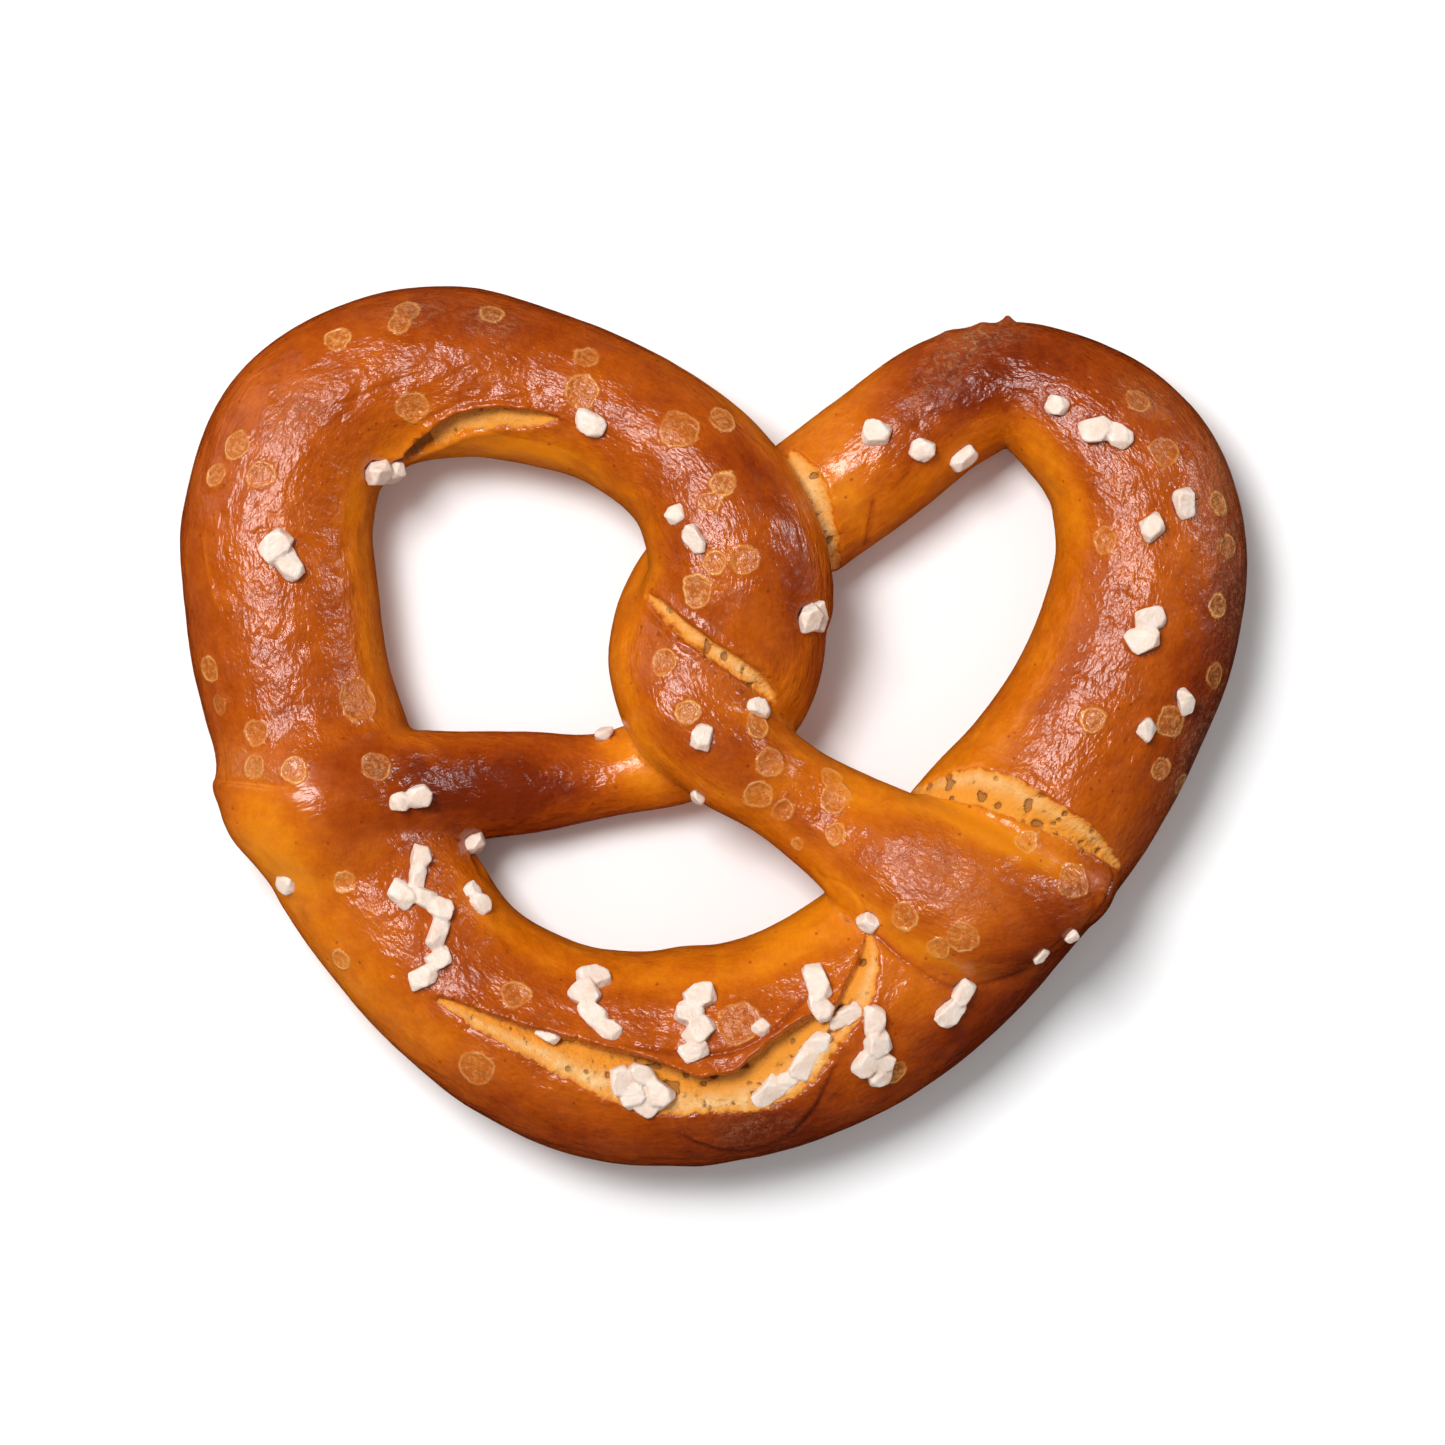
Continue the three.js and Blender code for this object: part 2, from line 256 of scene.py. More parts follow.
def skin_of_field(values: np.ndarray, origin: np.ndarray, step: float) -> Skin:
    """The surface where a sampled field is zero.

    Each cell of the grid whose corners differ in sign holds one vertex, at the mean of the places
    where its edges cross zero. Each grid edge that crosses zero joins the four cells round it into
    two triangles, turned so that the negative side is inside. They meet along the square's first
    diagonal, or along its second where another square has that pair of vertices already.

    Args:
        values: The field on a grid, negative inside.
        origin: The grid's first corner, in mm.
        step: The grid's spacing, in mm.

    Returns:
        The closed surface.
    """
    values = without_checkers(values)
    inside = values < 0
    shape = np.array(values.shape) - 1
    count = np.zeros(shape, np.int8)
    for i, j, k in product((0, 1), repeat=3):
        count += inside[i : shape[0] + i, j : shape[1] + j, k : shape[2] + k]
    active = (count > 0) & (count < 8)
    cells = np.argwhere(active)
    number = np.full(shape, -1)
    number[active] = np.arange(len(cells))

    total = np.zeros((len(cells), 3))
    crossings = np.zeros(len(cells))
    quads = []
    for axis in range(3):
        along = np.eye(3, dtype=int)[axis]
        across = [np.eye(3, dtype=int)[(axis + i) % 3] for i in (1, 2)]
        for i, j in product((0, 1), repeat=2):
            start = cells + i * across[0] + j * across[1]
            low = values[tuple(start.T)]
            high = values[tuple((start + along).T)]
            crosses = (low < 0) != (high < 0)
            share = low[crosses] / (low[crosses] - high[crosses])
            total[crosses] += start[crosses] + share[:, None] * along
            crossings += crosses
        ends = [slice(None)] * 3
        starts = [slice(None)] * 3
        ends[axis], starts[axis] = slice(1, None), slice(None, -1)
        changed = np.argwhere(inside[tuple(starts)] != inside[tuple(ends)])
        ring = [changed - i * across[0] - j * across[1] for i, j in ((0, 0), (1, 0), (1, 1), (0, 1))]
        quad = np.stack([number[tuple(cell.T)] for cell in ring], axis=1)
        outward = inside[tuple(changed.T)]
        quad[~outward] = quad[~outward, ::-1]
        quads.append(quad)
    quads = np.concatenate(quads)
    pairs = np.concatenate([quads[:, [a, b]] for a, b in ((0, 2), (0, 1), (1, 2), (2, 3), (3, 0))])
    pairs.sort(axis=1)
    _, place, times = np.unique(pairs @ (len(cells), 1), return_inverse=True, return_counts=True)
    taken = times[place[: len(quads)]] > 1
    quads[taken] = np.roll(quads[taken], 1, axis=1)
    points = origin + step * total / crossings[:, None]
    return Skin(points, np.concatenate([quads[:, [0, 1, 2]], quads[:, [0, 2, 3]]]))


def link_mesh(name: str, points: np.ndarray, faces: np.ndarray, layers: dict) -> bpy.types.Object:
    """Makes a smooth-shaded mesh object at the origin.

    Args:
        name: Name of the object and its mesh.
        points: Vertices in metres.
        faces: Rows of three vertex numbers.
        layers: One value a vertex, by attribute name.

    Returns:
        The object, linked to the scene.
    """
    mesh = bpy.data.meshes.new(name)
    mesh.vertices.add(len(points))
    mesh.vertices.foreach_set("co", points.astype(np.float32).ravel())
    mesh.loops.add(faces.size)
    mesh.loops.foreach_set("vertex_index", faces.astype(np.int32).ravel())
    mesh.polygons.add(len(faces))
    mesh.polygons.foreach_set("loop_start", np.arange(0, faces.size, 3, dtype=np.int32))
    mesh.update(calc_edges=True)
    mesh.validate()
    mesh.polygons.foreach_set("use_smooth", np.ones(len(faces), bool))
    for layer, values in layers.items():
        attribute = mesh.attributes.new(layer, "FLOAT", "POINT")
        attribute.data.foreach_set("value", values.astype(np.float32))
    thing = bpy.data.objects.new(name, mesh)
    bpy.context.scene.collection.objects.link(thing)
    return thing


# ---------------------------------------------------------------------------------------------
# The rope and its field
# ---------------------------------------------------------------------------------------------


@dataclass(frozen=True)
class Layout:
    """Where the rope lies in the frame: its own outline, matched to the CAD dough's box."""

    low: tuple[float, float] = (-75.13, -61.58)
    high: tuple[float, float] = (74.47, 61.93)

    def fitted(self) -> tuple[float, np.ndarray]:
        """The scale from layout mm to the frame's metres, and the shift that goes on after it."""
        near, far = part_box(DOUGH_NODE)
        scale = (far.x - near.x) / (self.high[0] - self.low[0])
        middle = np.array([(near.x + far.x) / 2.0, (near.y + far.y) / 2.0, 0.0])
        own = np.array([sum(pair) / 2.0 for pair in zip(self.low, self.high)] + [0.0])
        return scale, middle - scale * own

    def metres(self, points: np.ndarray) -> np.ndarray:
        """Layout points in the frame's metres."""
        scale, shift = self.fitted()
        return points * scale + shift


@dataclass(frozen=True)
class Strand:
    """A stretch of the rope between two stations, with a round end where the rope ends."""

    first: int
    last: int


@dataclass(frozen=True)
class Spot:
    """A round place on the layout where something holds fully inside `near` and not past `far`."""

    centre: tuple[float, float, float]
    near: float
    far: float

    def share(self, points: np.ndarray) -> np.ndarray:
        """1 inside the spot, 0 outside it, and an eased step between."""
        return 1.0 - ease(self.near, self.far, np.linalg.norm(points - self.centre, axis=1))


def cubic_through(stations: tuple, place: np.ndarray, slope: int = 0) -> np.ndarray:
    """A smooth curve through rows of numbers, at places counted in rows.

    Each span is the cubic through its two rows whose slope at each is half the step between the
    neighbours on both sides. Past the ends the first and last steps are repeated.

    Args:
        stations: The rows that the curve goes through.
        place: Places from 0 to the number of the last row.
        slope: 0 for the curve itself, 1 or 2 for its first or second derivative.

    Returns:
        One row for each place.
    """
    rows = np.array(stations)
    rows = np.concatenate([[2 * rows[0] - rows[1]], rows, [2 * rows[-1] - rows[-2]]])
    span = np.clip(place.astype(int), 0, len(stations) - 2)
    t = (place - span)[:, None]
    before, start, end, after = (rows[span + i] for i in range(4))
    out, into = 0.5 * (end - before), 0.5 * (after - start)
    square = 3 * (end - start) - 2 * out - into
    cube = 2 * (start - end) + out + into
    if slope == 0:
        return start + t * (out + t * (square + t * cube))
    if slope == 1:
        return out + t * (2 * square + 3 * t * cube)
    return 2 * square + 6 * t * cube


@dataclass(frozen=True)
class Rope:
    """The rope's stations as rows x, y, z, half-width and half-height, in mm."""

    stations: tuple[tuple[float, ...], ...]
    samples: int = 6
    longest_step: float = 0.17
    improved_within: float = 24.0

    def at(self, place: np.ndarray, slope: int = 0) -> np.ndarray:
        """The rope, or its first or second derivative, at places counted in stations."""
        return cubic_through(self.stations, place, slope)

    def nearest(self, points: np.ndarray, strand: Strand) -> np.ndarray:
        """The place along a strand's middle line nearest to each point.

        The nearest of a few samples a station is improved by two steps of Newton's method on the
        product of the offset and the slope, each about a sample's spacing at most. Points
        further away than `improved_within` keep their sample.

        Args:
            points: Points as rows, in mm.
            strand: The strand to look along.

        Returns:
            Places, counted in stations.
        """
        count = self.samples * (strand.last - strand.first) + 1
        samples = np.linspace(strand.first, strand.last, count)
        middle = self.at(samples)[:, :3]
        squares = (middle**2).sum(axis=1)
        place, apart = np.empty(len(points)), np.empty(len(points))
        for start in range(0, len(points), BATCH):
            part = slice(start, start + BATCH)
            found = np.argmin(squares - 2.0 * points[part] @ middle.T, axis=1)
            place[part] = samples[found]
            apart[part] = np.linalg.norm(points[part] - middle[found], axis=1)
        close = np.flatnonzero(apart < self.improved_within)
        for _ in range(2):
            offset = self.at(place[close])[:, :3] - points[close]
            first, second = (self.at(place[close], slope)[:, :3] for slope in (1, 2))
            bend = (first**2).sum(axis=1) + np.maximum((offset * second).sum(axis=1), 0.0)
            step = np.clip((offset * first).sum(axis=1) / bend, -self.longest_step, self.longest_step)
            place[close] = np.clip(place[close] - step, strand.first, strand.last)
        return place

    def sections(self, points: np.ndarray, strand: Strand) -> tuple[np.ndarray, ...]:
        """The rope's section nearest to each point.

        Args:
            points: Points as rows, in mm.
            strand: The strand to look along.

        Returns:
            The place along the rope, the section's three axes (side, up and along), its three
            half-sizes, and the point's offset from its middle along those axes.
        """
        place = self.nearest(points, strand)
        row = self.at(place)
        tangent = self.at(place, 1)[:, :3]
        tangent /= np.linalg.norm(tangent, axis=1, keepdims=True)
        side = np.stack([tangent[:, 1], -tangent[:, 0], np.zeros(len(place))], axis=1)
        side /= np.linalg.norm(side, axis=1, keepdims=True)
        axes = np.stack([side, np.cross(side, tangent), tangent], axis=1)
        half = np.stack([row[:, 3], row[:, 4], np.minimum(row[:, 3], row[:, 4])], axis=1)
        return place, axes, half, np.einsum("nij,nj->ni", axes, points - row[:, :3])

    def distance(self, points: np.ndarray, strand: Strand) -> tuple[np.ndarray, np.ndarray]:
        """How far points lie outside a strand, and the direction straight away from it.

        With q the offset from the middle line over the section's half-sizes, and g that over the
        half-sizes again, the distance is |q| (|q| - 1) / |g|, which is exact on the skin.

        Args:
            points: Points as rows, in mm.
            strand: The strand to measure from.

        Returns:
            The distance, negative inside, and the unit direction that it grows in.
        """
        _, axes, half, offset = self.sections(points, strand)
        grown = offset / half**2
        reach = np.linalg.norm(offset / half, axis=1)
        steep = np.maximum(np.linalg.norm(grown, axis=1), 1e-9)
        away = np.einsum("nij,ni->nj", axes, grown) / steep[:, None]
        return reach * (reach - 1.0) / steep, away


def soft_union(first: tuple, second: tuple, softness: np.ndarray) -> tuple[np.ndarray, np.ndarray]:
    """Joins two fields with a fillet.

    With h the share 1/2 + (second - first) / (2 softness), kept from 0 to 1, the distance is the
    mix of the two less softness h (1 - h), and the direction is the same mix.

    Args:
        first: Distance and direction of one field.
        second: Distance and direction of the other.
        softness: Reach of the fillet at each point, in mm.

    Returns:
        Distance and direction of the joined field.
    """
    softness = np.maximum(softness, 1e-4)
    share = np.clip(0.5 + 0.5 * (second[0] - first[0]) / softness, 0.0, 1.0)
    mixed = share * first[0] + (1.0 - share) * second[0] - softness * share * (1.0 - share)
    return mixed, share[:, None] * first[1] + (1.0 - share[:, None]) * second[1]


@dataclass(frozen=True)
class DoughField:
    """The dough as a field of distances: four strands, their welds and the flat base."""

    rope: Rope
    left_arm: Strand = Strand(0, LEFT_JOINT)
    left_loop: Strand = Strand(LEFT_JOINT, BELLY_JOINT)
    right_loop: Strand = Strand(BELLY_JOINT, RIGHT_JOINT)
    right_arm: Strand = Strand(RIGHT_JOINT, 51)
    crossing_softness: float = 1.3
    left_weld: Spot = Spot((-62.0, -11.0, 14.0), 12.0, 24.0)
    left_weld_softness: float = 8.0
    right_weld: Spot = Spot((52.0, -22.0, 14.0), 6.0, 16.0)
    right_weld_softness: float = 2.6
    twist_weld: Spot = Spot((-2.0, 12.5, 20.0), 9.0, 14.0)
    twist_weld_softness: float = 5.0
    joint_reach: tuple[float, float] = (10.0, 17.0)
    base_softness: float = 1.6

    def softness(self, points: np.ndarray, joint: int, weld: Spot, most: float) -> np.ndarray:
        """The fillet between two strands: none where they are one rope, more where they were welded."""
        centre = tuple(self.rope.stations[joint][:3])
        apart = 1.0 - Spot(centre, *self.joint_reach).share(points)
        return apart * (self.crossing_softness + (most - self.crossing_softness) * weld.share(points))

    def strands(self) -> tuple[Strand, ...]:
        """The four strands, from one end of the rope to the other."""
        return self.left_arm, self.left_loop, self.right_loop, self.right_arm

    def at(self, points: np.ndarray) -> tuple[np.ndarray, np.ndarray]:
        """Distance from the dough at each point, negative inside, and the direction it grows in."""
        arm, loop, far_loop, far_arm = (
            self.rope.distance(points, strand) for strand in self.strands()
        )
        left_softness = self.softness(points, LEFT_JOINT, self.left_weld, self.left_weld_softness)
        right_softness = self.softness(
            points, RIGHT_JOINT, self.right_weld, self.right_weld_softness
        )
        left = soft_union(arm, loop, left_softness)
        right = soft_union(far_arm, far_loop, right_softness)
        middle_softness = self.softness(points, BELLY_JOINT, self.twist_weld, self.twist_weld_softness)
        both = soft_union(left, right, middle_softness)
        under = (points[:, 2], np.tile([0.0, 0.0, 1.0], (len(points), 1)))
        turned = (-both[0], -both[1])
        cut = soft_union(turned, under, np.full(len(points), self.base_softness))
        return -cut[0], -cut[1]

    def rope_distance(self, points: np.ndarray) -> np.ndarray:
        """Rough distance to the nearest strand, from samples of its middle line and its thickness."""
        rows = self.rope.at(np.arange(0.0, len(self.rope.stations) - 1.0, 0.34))
        middle, thick = rows[:, :3], rows[:, 3:].mean(axis=1)
        found = np.empty(len(points))
        for start in range(0, len(points), BATCH):
            part = points[start : start + BATCH]
            square = (part**2).sum(axis=1)[:, None] + (middle**2).sum(axis=1) - 2.0 * part @ middle.T
            found[start : start + BATCH] = (np.sqrt(np.maximum(square, 0.0)) - thick).min(axis=1)
        return found

    def projected(self, points: np.ndarray, rounds: int = 2) -> np.ndarray:
        """Points moved onto the skin: each round steps back along the direction by the distance."""
        for _ in range(rounds):
            distance, away = self.at(points)
            steep = np.maximum((away**2).sum(axis=1), 0.2)
            points = points - away * (distance / steep)[:, None]
        return points

    def tops(self, places: np.ndarray) -> np.ndarray:
        """The highest point of the skin above each x, y: a point falls by its distance, 30 times."""
        points = np.column_stack([places, np.full(len(places), 28.5)])
        for _ in range(30):
            points[:, 2] -= np.clip(self.at(points)[0] * 0.9, -1.0, 6.0)
        return points

    def skin(self, step: float) -> Skin:
        """The bare skin of the dough, with triangles about `step` mm across.

        The field is read once for each block of 4 by 4 by 4 grid points, and then at every grid
        point of the blocks near the skin.

        Args:
            step: Spacing of the grid, in mm.

        Returns:
            The closed surface, evened out and brought back onto the field.
        """
        stations = np.array(self.rope.stations)
        reach = stations[:, 3:].max(axis=1)[:, None] + 2.0
        low = (stations[:, :3] - reach).min(axis=0)
        high = (stations[:, :3] + reach).max(axis=0)
        low[2] = -2.0 * step
        blocks = np.ceil((high - low) / (4.0 * step)).astype(int)
        middles = [low[i] + step * (1.5 + 4.0 * np.arange(blocks[i])) for i in range(3)]
        centres = np.stack(np.meshgrid(*middles, indexing="ij"), axis=-1).reshape(-1, 3)
        rough = self.at(centres)[0].reshape(blocks)
        values = rough.repeat(4, 0).repeat(4, 1).repeat(4, 2)
        near = np.argwhere(np.abs(values) < 4.0 * step + 1.5)
        values[tuple(near.T)] = self.at(low + step * near)[0]
        skin = skin_of_field(values, low, step)
        for _ in range(3):
            skin.points = self.projected(skin.relaxed(0.5), 1)
        return skin


# ---------------------------------------------------------------------------------------------
# What the oven and the baker did to the skin
# ---------------------------------------------------------------------------------------------


@dataclass(frozen=True)
class Line:
    """A line laid on the skin: samples of its middle, and a half-width and depth at each, in mm."""

    middle: np.ndarray
    width: np.ndarray
    depth: np.ndarray

    @classmethod
    def laid(cls, rows: tuple, dough: DoughField) -> "Line":
        """A path of rows x, y, half-width and depth, smoothed and dropped onto the dough."""
        count = len(rows)
        fine = cubic_through(rows, np.linspace(0, count - 1, 12 * (count - 1) + 1))
        return cls(dough.tops(fine[:, :2]), fine[:, 2], fine[:, 3])

    def near(self, points: np.ndarray, reach: float) -> np.ndarray:
        """The numbers of the points that lie within `reach` of the line's box."""
        low, high = self.middle.min(axis=0) - reach, self.middle.max(axis=0) + reach
        return np.flatnonzero(((points > low) & (points < high)).all(axis=1))

    def across(self, points: np.ndarray, normals: np.ndarray) -> tuple[np.ndarray, ...]:
        """Where points lie beside the line.

        A point's offset from the nearest sample, less its part along the line, is its distance
        across, and the side is the sign of that offset on the cross product of the skin's normal
        and the line.

        Args:
            points: Points of the skin, in mm.
            normals: Unit normals there.

        Returns:
            The signed distance across (left is positive), the half-width and the depth.
        """
        middle = self.middle
        tangent = np.gradient(middle, axis=0)
        tangent /= np.linalg.norm(tangent, axis=1, keepdims=True)
        squares = (middle**2).sum(axis=1)
        nearest = np.argmin(squares - 2.0 * points @ middle.T, axis=1)
        offset = points - middle[nearest]
        run = (offset * tangent[nearest]).sum(axis=1)
        sideways = (offset * np.cross(normals, tangent[nearest])).sum(axis=1)
        apart = np.sqrt(np.maximum((offset**2).sum(axis=1) - run**2, 0.0))
        past = np.where((nearest == 0) | (nearest == len(middle) - 1), np.abs(run), 0.0)
        distance = np.hypot(apart, past)
        signed = np.where(sideways < 0, -distance, distance)
        return signed, np.maximum(self.width[nearest], 0.05), self.depth[nearest]


@dataclass(frozen=True)
class Split:
    """A tear in the crust that shows the crumb.

    Attributes:
        path: Rows x, y, half-width and depth along the middle of the tear, in mm.
        left_lip: Height of the crust's edge on the left of the path's direction, in mm.
        right_lip: The same on the right.
        tilt: How much deeper the floor is on the left, as a share of the depth.
        cream: How pale the crumb is, from 0 for baked yellow to 1 for cream.
        ragged: How far the edges wander, in mm.
        porous: How strongly the coarse pores show, from 0 to 1.
        reach: How far from the path the tear moves the skin, in mm.
        wall: Where the wall starts and ends, in mm outside the edge.
        cream_band: The shares of the width between which the crumb turns cream.
        pore_band: The values of noise between which a pore opens.
        pore_depth: Depth of a coarse pore, in mm.
        floor_noise: Height of the floor's unevenness, in mm.
        rims: Height share, place and width of the bells that make a lip, in mm outside the edge.
    """

    path: tuple[tuple[float, float, float, float], ...]
    left_lip: float = 0.3
    right_lip: float = 0.2
    tilt: float = 0.0
    cream: float = 0.8
    ragged: float = 0.4
    porous: float = 1.0
    reach: float = 9.0
    wall: tuple[float, float] = (-0.25, 0.3)
    cream_band: tuple[float, float] = (-0.35, 0.65)
    pore_band: tuple[float, float] = (0.42, 0.78)
    pore_depth: float = 0.55
    floor_noise: float = 0.24
    rims: tuple[tuple[float, float, float], ...] = ((1.0, 0.6, 0.55), (0.4, 1.6, 1.3))

    def cut(self, line: Line, points: np.ndarray, normals: np.ndarray) -> dict[str, np.ndarray]:
        """What the tear does to the skin.

        Inside the half-width the skin drops behind a steep wall to a floor that slopes by the tilt
        and has coarse pores; just outside, each lip stands up as a bell. The crumb is paler on the
        side where the floor is high.

        Args:
            line: The tear's path laid on the skin.
            points: Points of the skin, in mm.
            normals: Unit normals there.

        Returns:
            The height to add, the distance outside the tear's edge, and the shares of cream and of
            pores, at each point.
        """
        away, width, depth = line.across(points, normals)
        narrow = np.minimum(width, 1.0)
        edge = np.abs(away) + self.ragged * narrow * layered_noise(points, 2.4, 71) - width
        inside = 1.0 - ease(*self.wall, edge)
        share = np.clip(away / width, -1.0, 1.0)
        pores = self.porous * ease(*self.pore_band, lattice_noise(points, 1.35, 73))
        floor = -depth * (1.0 + self.tilt * share)
        floor += narrow * (self.floor_noise * layered_noise(points, 2.0, 72) - self.pore_depth * pores)
        lips = np.where(away > 0, self.left_lip, self.right_lip) * narrow
        rim = lips * sum(share * bump(edge, place, spread) for share, place, spread in self.rims)
        high_side = -share * np.sign(self.tilt) if self.tilt else np.ones_like(share)
        # The pore share tells the finish where to paint the pores dark, as painted shade.
        return {
            "height": inside * floor + (1.0 - inside) * rim,
            "tear": edge,
            "cream": self.cream * ease(*self.cream_band, high_side),
            "pore": pores,
        }


@dataclass(frozen=True)
class Crease:
    """A fold line in the crust: a groove, with a roll of dough beside it.

    Attributes:
        path: Rows x, y, half-width and depth along the groove, in mm.
        left_roll: Height of the dough on the left of the path's direction, in mm.
        right_roll: The same on the right.
        roll_width: How far the rolls reach from the groove, in mm.
        shade: How much darker the groove is painted, as painted shade in the fold; below zero, how much paler.
        roll_start: Where a roll starts and where it is at its full height, in mm from the groove.
    """

    path: tuple[tuple[float, float, float, float], ...]
    left_roll: float = 0.0
    right_roll: float = 0.0
    roll_width: float = 2.5
    shade: float = 0.25
    roll_start: tuple[float, float] = (-0.1, 0.5)

    def cut(self, line: Line, points: np.ndarray, normals: np.ndarray) -> tuple:
        """The height, and the painted shade in the groove, that the fold adds.

        The groove is a bell across the path. Each roll rises in an eased step at the groove and
        falls off as a bell, in proportion to the groove's depth.
        """
        away, width, depth = line.across(points, normals)
        groove = bump(away, 0.0, width)
        strength = np.abs(depth) / np.abs(line.depth).max()
        left = self.left_roll * ease(*self.roll_start, away)
        right = self.right_roll * ease(*self.roll_start, -away)
        roll = strength * (left + right) * bump(away, 0.0, self.roll_width)
        # The groove is painted darker by shade: painted shade in the fold.
        return roll - depth * groove, self.shade * groove * np.minimum(strength * 2.0, 1.0)


@dataclass(frozen=True)
class Blister:
    """A flat bubble in the crust: a thin raised ring round a wrinkled disc."""

    x: float
    y: float
    radius: float
    wander: float = 0.22
    ring_height: float = 0.13
    ring_width: float = 0.32
    disc_noise: float = 0.07
    disc_drop: float = 0.04

    def mark(self, centre: np.ndarray, points: np.ndarray) -> tuple[np.ndarray, np.ndarray]:
        """The height that the bubble adds, and the distance outside its wandering edge, in mm."""
        seed = int(self.x * 7 + self.y * 13) & 1023
        wander = 1.0 + self.wander * lattice_noise(points, 2.6, seed)
        edge = np.linalg.norm(points - centre, axis=1) - self.radius * wander
        disc = 1.0 - ease(-0.3, 0.3, edge)
        wrinkled = self.disc_noise * lattice_noise(points, 0.9, 81) - self.disc_drop
        return self.ring_height * bump(edge, 0.0, self.ring_width) + disc * wrinkled, edge


@dataclass(frozen=True)
class Tint:
    """A long soft patch of the crust, such as a paler (positive) or a darker (negative) one."""

    x: float
    y: float
    length: float
    width: float
    heading: float
    strength: float

    def share(self, points: np.ndarray) -> np.ndarray:
        """The patch's strength: a bell over the oval distance in plan."""
        turn = np.radians(self.heading)
        offset = points[:, :2] - (self.x, self.y)
        along = offset @ (np.cos(turn), np.sin(turn))
        across = offset @ (-np.sin(turn), np.cos(turn))
        return self.strength * np.exp(-((along / self.length) ** 2) - (across / self.width) ** 2)


@dataclass(frozen=True)
class Nib:
    """A small point of dough that stands out of the skin."""

    place: tuple[float, float, float]
    radius: float
    height: float

    def lift(self, points: np.ndarray) -> np.ndarray:
        """The nib's height: a bell round its place."""
        return self.height * bump(np.linalg.norm(points - self.place, axis=1), 0.0, self.radius)


# ---------------------------------------------------------------------------------------------
# Salt
# ---------------------------------------------------------------------------------------------


@dataclass(frozen=True)
class Seat:
    """Where a crystal lies: its middle, its three axes as rows, and its half-sizes, in mm."""

    middle: np.ndarray
    axes: np.ndarray
    half: np.ndarray

    def local(self, points: np.ndarray) -> np.ndarray:
        """Points seen from the crystal."""
        return (points - self.middle) @ self.axes.T


@dataclass(frozen=True)
class Clump:
    """Crystals of salt stuck together, as rows x, y, length, breadth and heading in degrees."""

    number: int
    crystals: tuple[tuple[float, ...], ...]
    thickness: float = 0.78
    sunk: float = 0.3
    sharpness: float = 17.0
    joint_softness: float = 0.34
    face_skew: float = 0.14
    face_reach: tuple[float, float] = (0.93, 1.03)
    corner_lean: tuple[float, float] = (0.25, 1.0)
    corner_reach: tuple[float, float] = (0.98, 1.26)
    noise_height: float = 0.10
    noise_scale: float = 1.1

    def node(self) -> str:
        """The CAD node that this clump stands for."""
        kind = "clump" if len(self.crystals) > 1 else "grain"
        return f"salt_{kind}_{self.number:02d}"

    def seats(self, dough: DoughField) -> list[Seat]:
        """A seat for each crystal, with its thickness along the crust's normal."""
        rows = np.array(self.crystals)
        tops = dough.tops(rows[:, :2])
        _, away = dough.at(tops)
        seats = []
        for row, top, up in zip(rows, tops, away):
            up = up / np.linalg.norm(up)
            turn = np.radians(row[4])
            ahead = np.array([np.cos(turn), np.sin(turn), 0.0])
            ahead -= up * (ahead @ up)
            ahead /= np.linalg.norm(ahead)
            half = 0.5 * np.array([row[2], row[3], row[3] * self.thickness])
            middle = top + up * 2.0 * half[2] * (0.5 - self.sunk)
            seats.append(Seat(middle, np.stack([ahead, np.cross(up, ahead), up]), half))
        return seats

    def crystal(self, index: int, seat: Seat, points: np.ndarray) -> tuple[np.ndarray, np.ndarray]:
        """One crystal as a field: distance outside it, and the direction that it grows in.

        A crystal is what lies below a set of planes: six nearly square to its axes and eight broken
        off at random. They are blended as the logarithm of a sum of exponentials, which rounds the
        edges a little, and the direction is the blend of their normals with the same weights.
        """
        draw = np.random.default_rng(1000 * self.number + index)
        square = np.concatenate([np.eye(3), -np.eye(3)]) + draw.normal(0.0, self.face_skew, (6, 3))
        corners = np.array(list(product((-1, 1), repeat=3)), float)
        normal = np.concatenate([square, corners * draw.uniform(*self.corner_lean, (8, 3))])
        normal /= np.linalg.norm(normal, axis=1, keepdims=True)
        oval = np.linalg.norm(normal * seat.half, axis=1)
        oval *= np.concatenate([draw.uniform(*self.face_reach, 6), draw.uniform(*self.corner_reach, 8)])
        planes = seat.local(points) @ normal.T - oval
        top = planes.max(axis=1, keepdims=True)
        weight = np.exp(self.sharpness * (planes - top))
        total = weight.sum(axis=1)
        distance = top[:, 0] + np.log(total) / self.sharpness
        return distance, (weight / total[:, None]) @ normal @ seat.axes

    def at(self, seats: list[Seat], points: np.ndarray) -> tuple[np.ndarray, np.ndarray]:
        """The whole clump as a field: its crystals joined with small fillets, and a little noise."""
        whole = self.crystal(0, seats[0], points)
        for index, seat in enumerate(seats[1:], start=1):
            joint = np.full(len(points), self.joint_softness)
            whole = soft_union(whole, self.crystal(index, seat, points), joint)
        rough = self.noise_height * layered_noise(points, self.noise_scale, self.number)
        return whole[0] + rough, whole[1]

    def skin(self, seats: list[Seat], step: float) -> Skin:
        """The closed skin of the clump, brought back onto its field so that the facets are flat."""
        reach = max(np.linalg.norm(seat.half) for seat in seats) + 2 * step
        middles = np.array([seat.middle for seat in seats])
        low, high = middles.min(axis=0) - reach, middles.max(axis=0) + reach
        counts = np.ceil((high - low) / step).astype(int) + 1
        ticks = [low[i] + step * np.arange(counts[i]) for i in range(3)]
        grid = np.stack(np.meshgrid(*ticks, indexing="ij"), axis=-1).reshape(-1, 3)
        skin = skin_of_field(self.at(seats, grid)[0].reshape(counts), low, step)
        for _ in range(2):
            skin.points = skin.relaxed(0.4)
            distance, away = self.at(seats, skin.points)
            steep = np.maximum((away**2).sum(axis=1), 0.3)
            skin.points = skin.points - away * (distance / steep)[:, None]
        return skin


